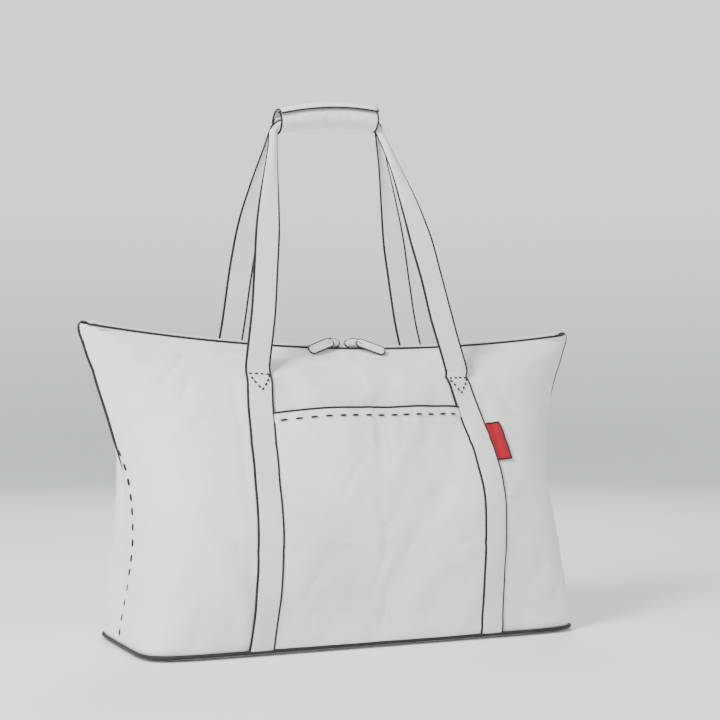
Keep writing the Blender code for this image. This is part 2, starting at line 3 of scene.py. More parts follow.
import json
import logging
import math
from dataclasses import dataclass, field
from enum import Enum
from typing import Callable, Iterable, Sequence

import bmesh
import bpy
import numpy as np
from mathutils import Matrix, Vector, noise


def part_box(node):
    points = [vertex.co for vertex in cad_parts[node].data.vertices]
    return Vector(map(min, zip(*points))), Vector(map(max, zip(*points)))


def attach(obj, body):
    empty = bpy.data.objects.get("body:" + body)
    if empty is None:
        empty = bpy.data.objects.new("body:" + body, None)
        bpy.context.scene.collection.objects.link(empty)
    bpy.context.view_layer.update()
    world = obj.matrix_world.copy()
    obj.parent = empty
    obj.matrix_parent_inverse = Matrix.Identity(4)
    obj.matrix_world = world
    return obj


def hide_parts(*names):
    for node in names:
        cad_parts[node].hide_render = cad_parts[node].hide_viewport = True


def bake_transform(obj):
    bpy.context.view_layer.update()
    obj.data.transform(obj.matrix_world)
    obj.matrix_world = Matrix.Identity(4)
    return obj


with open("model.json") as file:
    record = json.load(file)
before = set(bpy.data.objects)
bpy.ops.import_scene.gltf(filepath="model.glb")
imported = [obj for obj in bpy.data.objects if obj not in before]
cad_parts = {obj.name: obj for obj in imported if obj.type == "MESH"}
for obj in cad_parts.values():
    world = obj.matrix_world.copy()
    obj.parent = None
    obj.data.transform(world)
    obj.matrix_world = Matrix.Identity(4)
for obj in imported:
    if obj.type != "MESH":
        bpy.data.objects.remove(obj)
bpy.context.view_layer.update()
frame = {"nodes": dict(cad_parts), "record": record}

LOG = logging.getLogger("foldable_tote_bag")
Path = list[Vector]
Colour = tuple[float, float, float]
Row = list[Vector]
UP = Vector((0, 0, 1))
RIPSTOP_PITCH = 0.0062
RIPSTOP_LINE = 0.17
GRIP_HINGE_DROP = 0.00885


class Weave(Enum):
    """How a cloth's threads run: the ratio of its rib height to its plain weave height."""

    PLAIN = 0.0
    RIB = 1.0
    FUZZY = 0.4


class Face(Enum):
    """Side of the bag that a piece is on: the sign of Y."""

    FRONT = -1
    BACK = 1


# ---------------------------------------------------------------- finishes


def new_group(name: str, inputs: dict[str, float], outputs: Iterable[str]) -> bpy.types.NodeTree:
    """Makes an empty shader node group with a Place vector and float sockets.

    Args:
        name: the group's name.
        inputs: float socket names and their default values.
        outputs: names of the output sockets.

    Returns:
        The node tree, with its Group Input and Group Output nodes in it.
    """
    tree = bpy.data.node_groups.new(name, "ShaderNodeTree")
    tree.interface.new_socket("Place", in_out="INPUT", socket_type="NodeSocketVector")
    for label, value in inputs.items():
        socket = tree.interface.new_socket(label, in_out="INPUT", socket_type="NodeSocketFloat")
        socket.default_value = value
    for label in outputs:
        tree.interface.new_socket(label, in_out="OUTPUT", socket_type="NodeSocketFloat")
    tree.nodes.new("NodeGroupInput")
    tree.nodes.new("NodeGroupOutput")
    return tree


@dataclass
class Wiring:
    """Adds nodes to a tree and links them by name."""

    tree: bpy.types.NodeTree

    def add(self, kind: str, links: dict | None = None, **settings: object) -> bpy.types.Node:
        """Adds one node.

        Args:
            kind: the node's type name.
            links: input socket name or index to a socket to link, or a value to set.
            settings: properties of the node.

        Returns:
            The new node.
        """
        node = self.tree.nodes.new(kind)
        for key, value in settings.items():
            setattr(node, key, value)
        for key, value in (links or {}).items():
            if isinstance(value, bpy.types.NodeSocket):
                self.tree.links.new(value, node.inputs[key])
            else:
                node.inputs[key].default_value = value
        return node

    def math(self, operation: str, *values: float | bpy.types.NodeSocket) -> bpy.types.NodeSocket:
        """Adds a Math node on sockets or numbers and returns its output."""
        links = dict(enumerate(values))
        return self.add("ShaderNodeMath", links, operation=operation).outputs[0]

    def group(self, name: str, make: Callable[[], bpy.types.NodeTree], **links: object) -> bpy.types.Node:
        """Places a node group, which is made on its first use.

        Args:
            name: the group's name.
            make: the function that builds it.
            links: a socket to link or a value to set for each input, with _ for a space in its name.

        Returns:
            The group's node.
        """
        tree = bpy.data.node_groups.get(name) or make()
        given = {label.replace("_", " "): value for label, value in links.items()}
        return self.add("ShaderNodeGroup", given, node_tree=tree)

    def two_tone(
        self, value: bpy.types.NodeSocket, colour: Colour, low: float, start: float
    ) -> bpy.types.NodeSocket:
        """Adds a ramp from a darker shade of a colour to the colour itself.

        Args:
            value: what the ramp reads.
            colour: the colour at the top of the ramp.
            low: the darker shade, as a share of the colour.
            start: where the ramp starts.

        Returns:
            The ramp's colour.
        """
        ramp = self.add("ShaderNodeValToRGB", {0: value})
        dark, light = ramp.color_ramp.elements
        dark.position, light.position = start, 0.6
        dark.color = (*(Vector(colour) * low), 1)
        light.color = (*colour, 1)
        return ramp.outputs[0]

    def surface(self, colour: bpy.types.NodeSocket, rough: bpy.types.NodeSocket, height: bpy.types.NodeSocket,
                strength: float) -> None:
        """Feeds a colour, a roughness and a bump to the material's shader.

        Args:
            colour: the base colour.
            rough: the roughness.
            height: the bump's height in metres.
            strength: the bump's strength.
        """
        shader = self.tree.nodes["Principled BSDF"]
        bump = self.add("ShaderNodeBump", {"Strength": strength, "Distance": 1.0, "Height": height})
        for socket, label in ((colour, "Base Color"), (rough, "Roughness"), (bump.outputs[0], "Normal")):
            self.tree.links.new(socket, shader.inputs[label])


def weave_group() -> bpy.types.NodeTree:
    """Node group of woven threads: a height for the bump and a shade for the colour.

    Returns:
        The group, with inputs Threads per metre, Rib, Slub and Grid, and outputs Height and Shade.
    """
    sockets = {"Threads": 1200.0, "Rib": 0.0, "Slub": 0.3, "Grid": 0.0}
    tree = new_group("woven_threads", sockets, ("Height", "Shade"))
    wire = Wiring(tree)
    given = tree.nodes["Group Input"].outputs
    uv = given["Place"]
    split = wire.add("ShaderNodeSeparateXYZ", {0: uv}).outputs
    turn = wire.math("MULTIPLY", given["Threads"], 2 * math.pi)
    warp = wire.math("SINE", wire.math("MULTIPLY", split["X"], turn))
    weft = wire.math("SINE", wire.math("MULTIPLY", split["Y"], turn))
    plain = wire.math("MULTIPLY", warp, weft)
    rib = wire.math("ABSOLUTE", weft)
    mixed = wire.add("ShaderNodeMix", {0: given["Rib"], 2: plain, 3: rib}).outputs[0]
    specks = wire.add("ShaderNodeTexNoise", {"Vector": uv, "Scale": 240.0, "Detail": 3.0}).outputs[0]
    slub = wire.math("MULTIPLY", wire.math("SUBTRACT", specks, 0.5), given["Slub"])
    lines = []
    for axis in ("X", "Y"):
        turns = wire.math("MULTIPLY", split[axis], math.pi / RIPSTOP_PITCH)
        wave = wire.math("ABSOLUTE", wire.math("SINE", turns))
        lines.append(wire.math("LESS_THAN", wave, RIPSTOP_LINE))
    grid = wire.math("MULTIPLY", wire.math("MAXIMUM", *lines), given["Grid"])
    height = wire.math("ADD", wire.math("ADD", mixed, slub), grid)
    cloud = wire.add("ShaderNodeTexNoise", {"Vector": uv, "Scale": 9.0, "Detail": 4.0}).outputs[0]
    shade = wire.math("ADD", wire.math("MULTIPLY", cloud, 0.7), wire.math("MULTIPLY", height, 0.18))
    out = tree.nodes["Group Output"].inputs
    tree.links.new(height, out["Height"])
    tree.links.new(shade, out["Shade"])
    return tree


def crease_group() -> bpy.types.NodeTree:
    """Node group of soft crumple creases in thin cloth.

    Returns:
        The group, with inputs Size and Depth, and outputs Height and Dust.
    """
    tree = new_group("cloth_creases", {"Size": 9.0, "Depth": 1.0}, ("Height", "Dust"))
    wire = Wiring(tree)
    given = tree.nodes["Group Input"].outputs
    place = given["Place"]
    warp = wire.add("ShaderNodeTexNoise", {"Vector": place, "Scale": 5.0, "Detail": 2.0}).outputs[1]
    moved = wire.add("ShaderNodeVectorMath", {0: place, 1: warp}, operation="ADD").outputs[0]
    cells = wire.add("ShaderNodeTexVoronoi", {"Vector": moved, "Scale": given["Size"]}, feature="SMOOTH_F1")
    folds = wire.math("MULTIPLY", cells.outputs[0], given["Depth"])
    fine = wire.add("ShaderNodeTexNoise", {"Vector": place, "Scale": 34.0, "Detail": 3.0}).outputs[0]
    height = wire.math("ADD", folds, wire.math("MULTIPLY", fine, 0.12))
    dust = wire.add("ShaderNodeTexNoise", {"Vector": place, "Scale": 3.0, "Detail": 6.0}).outputs[0]
    out = tree.nodes["Group Output"].inputs
    tree.links.new(height, out["Height"])
    tree.links.new(dust, out["Dust"])
    return tree


def selvedge_group() -> bpy.types.NodeTree:
    """Node group that masks the two edges of a tape.

    Returns:
        The group, with inputs Half width and Line, and the output Mask.
    """
    tree = new_group("tape_selvedge", {"Half width": 0.0155, "Line": 0.002}, ("Mask",))
    wire = Wiring(tree)
    given = tree.nodes["Group Input"].outputs
    uv = given["Place"]
    across = wire.math("ABSOLUTE", wire.add("ShaderNodeSeparateXYZ", {0: uv}).outputs["X"])
    inner = wire.math("SUBTRACT", given["Half width"], given["Line"])
    mask = wire.math("GREATER_THAN", across, inner)
    tree.links.new(mask, tree.nodes["Group Output"].inputs["Mask"])
    return tree


def grain_group() -> bpy.types.NodeTree:
    """Node group of the fine grain and patchy wear of a hard finish.

    Returns:
        The group, with inputs Grain size and Wear size, and outputs Grain and Wear.
    """
    tree = new_group("hard_grain", {"Grain size": 900.0, "Wear size": 120.0}, ("Grain", "Wear"))
    wire = Wiring(tree)
    given = tree.nodes["Group Input"].outputs
    for label, detail in (("Grain", 3.0), ("Wear", 5.0)):
        links = {"Vector": given["Place"], "Scale": given[f"{label} size"], "Detail": detail}
        fleck = wire.add("ShaderNodeTexNoise", links).outputs[0]
        tree.links.new(fleck, tree.nodes["Group Output"].inputs[label])
    return tree


def new_material(name: str) -> bpy.types.Material:
    """Makes a material with its shader and output.

    Args:
        name: its name.

    Returns:
        The material.
    """
    made = bpy.data.materials.new(name)
    made.use_nodes = True
    return made


@dataclass(frozen=True)
class Cloth:
    """A woven finish: its colour, threads, creases and an optional dark selvedge."""

    name: str
    slot: str
    colour: Colour
    roughness: float = 0.6
    threads: float = 900.0
    weave: Weave = Weave.PLAIN
    weave_depth: float = 0.00006
    crease_depth: float = 0.0
    crease_size: float = 9.0
    sheen: float = 0.15
    selvedge: float = 0.0
    half_width: float = 0.0155
    contrast: float = 0.10
    solid: bool = False
    ripstop: float = 0.0

    def make(self) -> bpy.types.Material:
        """Builds the material once.

        Returns:
            The material of this finish.
        """
        found = bpy.data.materials.get(self.name)
        if found:
            return found
        made = new_material(self.name)
        wire = Wiring(made.node_tree)
        shader = made.node_tree.nodes["Principled BSDF"]
        shader.inputs["Sheen Weight"].default_value = self.sheen
        shader.inputs["Sheen Roughness"].default_value = 0.4
        shader.inputs["Specular IOR Level"].default_value = 0.35
        space = wire.add("ShaderNodeTexCoord").outputs["Object"]
        place = space if self.solid else wire.add("ShaderNodeUVMap", uv_map="metres").outputs[0]
        thread = {"Place": place, "Threads": self.threads, "Rib": self.weave.value, "Grid": self.ripstop}
        weave = wire.group("woven_threads", weave_group, **thread)
        creases = wire.group("cloth_creases", crease_group, Place=space, Size=self.crease_size)
        colour = wire.two_tone(weave.outputs["Shade"], self.colour, 1 - self.contrast, 0.2)
        if self.selvedge:
            edge = wire.group("tape_selvedge", selvedge_group, Place=place, Half_width=self.half_width,
                              Line=self.selvedge)
            links = {0: edge.outputs["Mask"], 6: colour, 7: (*INK, 1)}
            colour = wire.add("ShaderNodeMix", links, data_type="RGBA").outputs[2]
        rough = wire.math("MULTIPLY_ADD", creases.outputs["Dust"], 0.16, self.roughness - 0.08)
        folds = wire.math("MULTIPLY", creases.outputs["Height"], self.crease_depth)
        threads = wire.math("MULTIPLY", weave.outputs["Height"], self.weave_depth)
        wire.surface(colour, rough, wire.math("ADD", folds, threads), 0.8)
        return made


@dataclass(frozen=True)
class Hard:
    """A metal or moulded finish with fine grain and a little wear."""

    name: str
    slot: str
    colour: Colour
    roughness: float = 0.3
    metallic: float = 0.0
    grain: float = 0.00002

    def make(self) -> bpy.types.Material:
        """Builds the material once.

        Returns:
            The material of this finish.
        """
        found = bpy.data.materials.get(self.name)
        if found:
            return found
        made = new_material(self.name)
        wire = Wiring(made.node_tree)
        made.node_tree.nodes["Principled BSDF"].inputs["Metallic"].default_value = self.metallic
        place = wire.add("ShaderNodeTexCoord").outputs["Object"]
        worn = wire.group("hard_grain", grain_group, Place=place).outputs
        colour = wire.two_tone(worn["Wear"], self.colour, 0.86, 0.3)
        rough = wire.math("MULTIPLY_ADD", worn["Wear"], 0.2, self.roughness - 0.1)
        wire.surface(colour, rough, wire.math("MULTIPLY", worn["Grain"], self.grain), 0.6)
        return made


INK = (0.012, 0.012, 0.014)
WHITE = (0.86, 0.86, 0.855)
DARK_RIB = {"weave": Weave.RIB, "weave_depth": 0.00010, "contrast": 0.3, "sheen": 0.0}
SHELL_CLOTH = Cloth("shell_cloth", "cloth", WHITE, 0.5, 700.0, weave_depth=0.00009, crease_depth=0.0060,
                    contrast=0.09, ripstop=1.6)
POCKET_CLOTH = Cloth("pocket_cloth", "cloth", WHITE, 0.55, 700.0, crease_depth=0.0042, crease_size=12.0,
                     contrast=0.09, ripstop=1.6)
LINING = Cloth("seam_tape", "binding", (0.62, 0.62, 0.61), 0.8, 500.0, Weave.RIB, solid=True)
STRAP = Cloth(
    "strap_webbing", "webbing", (0.80, 0.80, 0.795), 0.7, 250.0, Weave.RIB, 0.00045, selvedge=0.0025
)
LOOP_TAPE = Cloth("loop_tape", "webbing", (0.74, 0.74, 0.735), 0.7, 380.0, Weave.RIB, 0.0002)
ZIP_TAPE = Cloth("zip_tape_weave", "zip", (0.72, 0.72, 0.715), 0.75, 600.0, Weave.RIB, 0.00012)
PIPING = Cloth("black_piping", "black_webbing", INK, 0.6, 500.0, **DARK_RIB)
THREAD = Cloth("black_thread", "black_webbing", INK, 0.55, 1600.0, **DARK_RIB)
BLACK_TAPE = Cloth(
    "black_webbing_weave", "black_webbing", (0.018, 0.018, 0.020), 0.75, 420.0, Weave.RIB, 0.0002
)
RED_TAG = Cloth("red_tag_weave", "tag", (0.42, 0.002, 0.018), 0.75, 700.0, Weave.RIB, 0.00012, contrast=0.25,
                sheen=0.0)
HOOK_TAPE = Cloth("hook_and_loop_nap", "hook_and_loop", (0.66, 0.66, 0.65), 0.95, 800.0, Weave.FUZZY, 0.0003,
                  sheen=0.6)
COIL = Hard("zip_coil_nylon", "zip", (0.74, 0.74, 0.73), 0.4)
ENAMEL = Hard("slider_enamel_white", "slider", (0.76, 0.76, 0.75), 0.32)
MOULDED = Hard("pull_tab_moulded", "pull", (0.78, 0.78, 0.77), 0.45)
CAST = Hard("cast_grey_metal", "metal", (0.17, 0.175, 0.18), 0.32, 1.0, 0.00004)
RIM = Hard("black_rim", "black_webbing", INK, 0.45)

# ---------------------------------------------------------------- meshes


def make_piece(name: str, mesh: bpy.types.Mesh, finish: Cloth | Hard) -> bpy.types.Object:
    """Links a mesh as a piece of the model, with its finish's material.

    Args:
        name: the piece's name.
        mesh: its mesh, in the row's frame.
        finish: what it is made of.

    Returns:
        The new object.
    """
    item = bpy.data.objects.new(name, mesh)
    bpy.context.scene.collection.objects.link(item)
    mesh.materials.append(finish.make())
    mesh.shade_smooth()
    return item


def sheet_mesh(name: str, rows: Sequence[Row]) -> bpy.types.Mesh:
    """Makes an open sheet from rows of points, with a UV map in metres centred on each row.

    Args:
        name: the mesh's name.
        rows: rows of points, all of one length.

    Returns:
        The mesh.
    """
    grid = np.array([[tuple(p) for p in row] for row in rows], float)
    count_v, count_u = grid.shape[:2]
    index = np.arange(count_v * count_u).reshape(count_v, count_u)
    faces = np.stack((index[:-1, :-1], index[:-1, 1:], index[1:, 1:], index[1:, :-1]), -1).reshape(-1, 4)
    mesh = bpy.data.meshes.new(name)
    mesh.from_pydata(grid.reshape(-1, 3).tolist(), [], faces.tolist())
    across = np.zeros((count_v, count_u))
    across[:, 1:] = np.cumsum(np.linalg.norm(np.diff(grid, axis=1), axis=2), axis=1)
    across -= across[:, -1:] / 2
    middle = grid[:, count_u // 2]
    along = np.concatenate(([0.0], np.cumsum(np.linalg.norm(np.diff(middle, axis=0), axis=1))))
    uv = np.stack((across, np.repeat(along[:, None], count_u, 1)), -1).reshape(-1, 2)
    write_uv(mesh, uv[faces.reshape(-1)])
    return mesh


def write_uv(mesh: bpy.types.Mesh, corners: np.ndarray) -> None:
    """Writes the UV map in metres, one pair for each face corner."""
    layer = mesh.uv_layers.new(name="metres")
    layer.uv.foreach_set("vector", np.ascontiguousarray(corners, np.float32).reshape(-1))


def sheet_piece(name: str, rows: Sequence[Row], finish: Cloth | Hard, thick: float, body: str, *nodes: str,
                offset: float = -1.0) -> bpy.types.Object:
    """Makes a sheet of one thickness that rides on a body.

    Args:
        name: the piece's name.
        rows: rows of points.
        finish: what it is made of.
        thick: its thickness.
        body: the body that it rides on.
        nodes: the CAD nodes that it stands for.
        offset: the side that the thickness goes to, from -1 to 1.

    Returns:
        The new object.
    """
    item = thicken(make_piece(name, sheet_mesh(name, rows), finish), thick, offset)
    if nodes:
        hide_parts(*nodes)
    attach(item, body)
    return item


def thicken(item: bpy.types.Object, thick: float, offset: float = -1.0) -> bpy.types.Object:
    """Gives a sheet its thickness, as part of its mesh.

    Args:
        item: the piece.
        thick: its thickness.
        offset: the side that the thickness goes to, from -1 to 1.

    Returns:
        The piece.
    """
    solid = item.modifiers.new("thickness", "SOLIDIFY")
    solid.thickness = thick
    solid.offset = offset
    solid.use_even_offset = True
    bpy.context.view_layer.update()
    ready = item.evaluated_get(bpy.context.evaluated_depsgraph_get())
    mesh = bpy.data.meshes.new_from_object(ready)
    item.modifiers.clear()
    item.data = mesh
    mesh.set_sharp_from_angle(angle=math.radians(55))
    return item


def tube_mesh(name: str, path: Path, radii: float | Sequence[float], sides: int = 10,
              cyclic: bool = False) -> bpy.types.Mesh:
    """Makes a round cord along a path, its ends closed, with a UV map in metres.

    Args:
        name: the mesh's name.
        path: centre points.
        radii: one radius, or one for each point.
        sides: sides of its section.
        cyclic: whether the path closes on itself.

    Returns:
        The mesh.
    """
    points = np.array([tuple(p) for p in path], float)
    count = len(points)
    size = np.full(count, radii) if np.isscalar(radii) else np.array(radii, float)
    ahead = np.roll(points, -1, 0) - points
    behind = points - np.roll(points, 1, 0)
    if not cyclic:
        ahead[-1] = behind[-1]
        behind[0] = ahead[0]
    along = ahead / (np.linalg.norm(ahead, axis=1)[:, None] + 1e-12)
    along += behind / (np.linalg.norm(behind, axis=1)[:, None] + 1e-12)
    along /= np.linalg.norm(along, axis=1)[:, None] + 1e-12
    normal = np.cross(along[0], (0.0, 0.0, 1.0))
    if np.linalg.norm(normal) < 0.2:
        normal = np.cross(along[0], (0.0, 1.0, 0.0))
    rings = []
    angles = np.linspace(0, 2 * math.pi, sides, endpoint=False)
    for i in range(count):
        normal = normal - along[i] * normal.dot(along[i])
        normal /= np.linalg.norm(normal)
        side = np.cross(along[i], normal)
        ring = np.outer(np.cos(angles), normal) + np.outer(np.sin(angles), side)
        rings.append(points[i] + ring * size[i])
    verts = np.concatenate(rings)
    run = np.concatenate(([0.0], np.cumsum(np.linalg.norm(np.diff(points, axis=0), axis=1))))
    faces, corners = [], []
    for i in range(count if cyclic else count - 1):
        j = (i + 1) % count
        for k in range(sides):
            m = (k + 1) % sides
            faces.append((i * sides + k, i * sides + m, j * sides + m, j * sides + k))
            step = 2 * math.pi * size[i] / sides
            far = run[i] + np.linalg.norm(points[j] - points[i])
            corners += [(k * step, run[i]), ((k + 1) * step, run[i]), ((k + 1) * step, far), (k * step, far)]
    if not cyclic:
        faces.append(tuple(range(sides - 1, -1, -1)))
        faces.append(tuple((count - 1) * sides + k for k in range(sides)))
        corners += [(0.0, 0.0)] * (2 * sides)
    mesh = bpy.data.meshes.new(name)
    mesh.from_pydata(verts.tolist(), [], faces)
    write_uv(mesh, np.array(corners))
    return mesh


def join_meshes(name: str, meshes: Sequence[bpy.types.Mesh]) -> bpy.types.Mesh:
    """Joins meshes into one and removes the ones given.

    Args:
        name: the new mesh's name.
        meshes: the meshes to join.

    Returns:
        The joined mesh.
    """
    work = bmesh.new()
    for mesh in meshes:
        work.from_mesh(mesh)
    joined = bpy.data.meshes.new(name)
    work.to_mesh(joined)
    work.free()
    for mesh in meshes:
        bpy.data.meshes.remove(mesh)
    return joined


def cord(name: str, path: Path, radius: float, finish: Cloth | Hard, body: str, cyclic: bool = False,
         sides: int = 10) -> bpy.types.Object:
    """Makes a round cord or piping piece that rides on a body."""
    made = make_piece(name, tube_mesh(name, path, radius, sides, cyclic), finish)
    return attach(made, body)


def smooth_path(points: Sequence[Vector], step: float, cyclic: bool = False) -> Path:
    """Reads a Catmull-Rom curve through points at an even step.

    Args:
        points: the points that the curve passes through.
        step: distance between the points returned, in metres.
        cyclic: whether the curve closes.

    Returns:
        Points along the curve.
    """
    fine: Path = []
    count = len(points)
    spans = count if cyclic else count - 1
    for i in range(spans):
        a, b, c, d = (points[(i + k) % count] if cyclic else points[min(max(i + k, 0), count - 1)]
                      for k in (-1, 0, 1, 2))
        for share in np.linspace(0, 1, 12, endpoint=False):
            t = float(share)
            fine.append(0.5 * (2 * b + (c - a) * t + (2 * a - 5 * b + 4 * c - d) * t * t
                               + (3 * b - a - 3 * c + d) * t * t * t))
    if not cyclic:
        fine.append(points[-1].copy())
    return even_path(fine, step, cyclic)


def even_path(path: Sequence[Vector], step: float, cyclic: bool = False) -> Path:
    """Respaces a path's points at an even step along it.

    Args:
        path: the points given.
        step: the distance wanted between points, in metres.
        cyclic: whether the path closes.

    Returns:
        The new points.
    """
    closed = list(path) + ([path[0]] if cyclic else [])
    grid = np.array([tuple(p) for p in closed])
    run = np.concatenate(([0.0], np.cumsum(np.linalg.norm(np.diff(grid, axis=0), axis=1))))
    count = max(int(round(run[-1] / step)), 2)
    stops = np.linspace(0, run[-1], count + 1)[: count if cyclic else count + 1]
    return [Vector([float(np.interp(s, run, grid[:, k])) for k in range(3)]) for s in stops]


@dataclass(frozen=True)
class StitchStyle:
    """Size of one visible stitch and the pitch of its row, in metres."""

    length: float = 0.0088
    pitch: float = 0.0172
    radius: float = 0.00115


def stitch_rows(name: str, paths: Sequence[Path], style: StitchStyle, body: str) -> bpy.types.Object:
    """Lays rows of separate thick stitches along paths.

    Args:
        name: the piece's name.
        paths: lines that the stitches follow, on the cloth's surface.
        style: sizes of the stitches.
        body: the body that they ride on.

    Returns:
        The piece.
    """
    swell = (0.35, 0.9, 1.0, 1.0, 0.9, 0.35)
    steps = len(swell) - 1
    step = style.length / steps
    meshes = []
    for path in paths:
        fine = even_path(path, step)
        start = style.pitch * 0.3
        while start + style.length < step * (len(fine) - 1):
            first = int(start / step)
            points = fine[first : first + steps + 1]
            radii = [style.radius * share for share in swell[: len(points)]]
            meshes.append(tube_mesh("stitch", points, radii, 8))
            start += style.pitch
    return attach(make_piece(name, join_meshes(name, meshes), THREAD), body)


def joint(name: str) -> dict:
    """Returns the record's entry of a joint."""
    return next(j for j in frame["record"]["behaviour"]["joints"] if j["name"] == name)


# ---------------------------------------------------------------- the bag


@dataclass(frozen=True)
class Station:
    """One level of the body: height at mid width, half depth, half width and squareness."""

    height: float
    depth: float
    width: float
    square: float


@dataclass
class BodyShape:
    """Outer shape of the bag's body: levels from a square base to a flat ridge with two ears."""

    ear: float = 0.326
    ridge: float = 0.349
    rise: float = 0.024
    inset: float = 0.0019
    belly: float = 0.0085
    stations: tuple[Station, ...] = (
        Station(0.0000, 0.1030, 0.264, 1.00),
        Station(0.0030, 0.1100, 0.272, 1.00),
        Station(0.0140, 0.1140, 0.276, 1.00),
        Station(0.0700, 0.1170, 0.270, 0.95),
        Station(0.1300, 0.1150, 0.266, 0.85),
        Station(0.1900, 0.1050, 0.272, 0.60),
        Station(0.2450, 0.0885, 0.288, 0.35),
        Station(0.3000, 0.0630, 0.307, 0.12),
        Station(0.3280, 0.0350, 0.3185, 0.03),
        Station(0.3410, 0.0125, 0.3235, 0.00),
    )
    cache: dict = field(default_factory=dict)

    @property
    def ridge_radius(self) -> float:
        """Radius of the curved top edge."""
        return (self.ear**2 + self.rise**2) / (2 * self.rise)

    def ridge_z(self, x: float) -> float:
        """Height of the top edge at a distance from the middle."""
        return self.ridge + self.ridge_radius - math.sqrt(self.ridge_radius**2 - x * x)

    def station(self, height: float) -> Station:
        """Reads the body's station at a height of the mid section.

        Args:
            height: the height at mid width.

        Returns:
            The station, read between the drawn ones.
        """
        key = round(height, 6)
        if key not in self.cache:
            heights = [s.height for s in self.stations]
            share = float(np.interp(height, heights, np.arange(len(heights))))
            i = min(int(share), len(heights) - 2)
            t = share - i
            picks = [self.stations[min(max(i + k, 0), len(heights) - 1)] for k in (-1, 0, 1, 2)]
            read = []
            for label in ("depth", "width", "square"):
                a, b, c, d = (getattr(s, label) for s in picks)
                read.append(0.5 * (2 * b + (c - a) * t + (2 * a - 5 * b + 4 * c - d) * t * t
                                   + (3 * b - a - 3 * c + d) * t**3))
            self.cache[key] = Station(height, read[0], read[1], min(max(read[2], 0.0), 1.0))
        return self.cache[key]

    def half_depth(self, station: Station, x: float) -> float:
        """Distance of the outer face from the seam plane.

        Args:
            station: the level.
            x: distance from the middle.

        Returns:
            The half depth at x.
        """
        share = min(abs(x) / station.width, 1.0)
        power = 2.4 + 9.0 * station.square
        root = 1.0 - 0.86 * station.square
        lens = (1 - share**power) ** root
        top = min(max((station.height - 0.265) / 0.076, 0.0), 1.0) ** 2
        rise = min(max((station.height - 0.12) / 0.10, 0.0), 1.0)
        seam = 0.0003 + self.inset * rise * rise * (3 - 2 * rise)
        return seam + station.depth * (lens * (1 - top) + (1 - share**14) * top)

    def height_scale(self, x: float) -> float:
        """How much taller the body is at x than in the middle."""
        return self.ridge_z(x) / self.ridge

    def point(self, x: float, height: float, out: float = 0.0, face: Face = Face.FRONT) -> Vector:
        """A point on a panel's outer face, with its folds, moved outwards along the normal.

        Args:
            x: distance from the middle.
            height: height at mid width.
            out: distance outwards.
            face: the panel.

        Returns:
            The point.
        """
        top = self.stations[-1].height
        step = 0.0025
        here = self.station(height)
        low, high = self.station(max(height - step, 0.0)), self.station(min(height + step, top))
        base = Vector((x, -self.half_depth(here, x), height * self.height_scale(x)))
        right = Vector((x + step, -self.half_depth(here, x + step), base.z))
        left = Vector((x - step, -self.half_depth(here, x - step), base.z))
        above = Vector((x, -self.half_depth(high, x), high.height * self.height_scale(x)))
        below = Vector((x, -self.half_depth(low, x), low.height * self.height_scale(x)))
        normal = (right - left).cross(above - below).normalized()
        lifted = base + normal * (out + self.folds(base, height, face))
        return lifted if face is Face.FRONT else Vector((-lifted.x, -lifted.y, lifted.z))

    def folds(self, base: Vector, height: float, face: Face) -> float:
        """Height of the soft folds: slack waves, strap pulls, old fold lines and the filled belly.

        Args:
            base: the point on the plain panel.
            height: its height at mid width.
            face: the panel.

        Returns:
            The height outwards from the plain panel.
        """
        seed = 0.0 if face is Face.FRONT else 11.0
        shift = Vector((seed, seed * 0.37, 0.0))
        low = min(height / 0.03, 1.0)
        high = min(max((0.341 - height) / 0.05, 0.0), 1.0)
        side = min(max((self.station(height).width - abs(base.x)) / 0.05, 0.0), 1.0)
        if height < 0.2:
            side = max(side, min(abs(base.y) / 0.04, 1.0) * 0.8)
        hold = low * low * (3 - 2 * low) * high * side
        slack = noise.noise(Vector((base.x * 7.0, base.y * 5.0, base.z * 8.0)) + shift) * 0.0078
        pull_line = base.x * 26.0 + math.copysign(1, base.x) * (0.34 - base.z) * 14.0
        pulls = noise.noise(Vector((pull_line, base.z * 3.2, seed))) * 0.0034
        ripple = noise.noise(Vector((base.x * 18.0, base.y * 18.0, base.z * 34.0)) + shift) * 0.0016
        crease = 0.0
        for line in (-0.162, 0.0, 0.162):
            crease -= 0.0016 * math.exp(-(((base.x - line) / 0.0028) ** 2))
        for line in (0.115, 0.230):
            crease -= 0.0015 * math.exp(-(((height - line) / 0.0026) ** 2))
        filled = math.sin(math.pi * min(max((height - 0.008) / 0.275, 0.0), 1.0)) ** 1.3
        wide = max(1 - (abs(base.x) / 0.25) ** 4, 0.0)
        belly = (self.belly if face is Face.FRONT else self.belly * 0.2) * filled * wide
        return belly + (slack + pulls + ripple) * hold + crease * hold * 0.8

    def level(self, height: float, columns: int) -> list[tuple[float, float]]:
        """Reads even points along one level of the front, from seam to seam.

        Args:
            height: the level's height at mid width.
            columns: the number of steps.

        Returns:
            X and Y of each point.
        """
        station = self.station(height)
        angles = np.linspace(math.pi, 0.0, 721)
        power = 2.4 + 9.0 * station.square
        x = station.width * np.sign(np.cos(angles)) * np.abs(np.cos(angles)) ** (2 / power)
        y = np.array([self.half_depth(station, value) for value in x])
        run = np.concatenate(([0.0], np.cumsum(np.hypot(np.diff(x), np.diff(y)))))
        stops = np.linspace(0, run[-1], columns + 1)
        return [(float(np.interp(s, run, x)), float(-np.interp(s, run, y))) for s in stops]

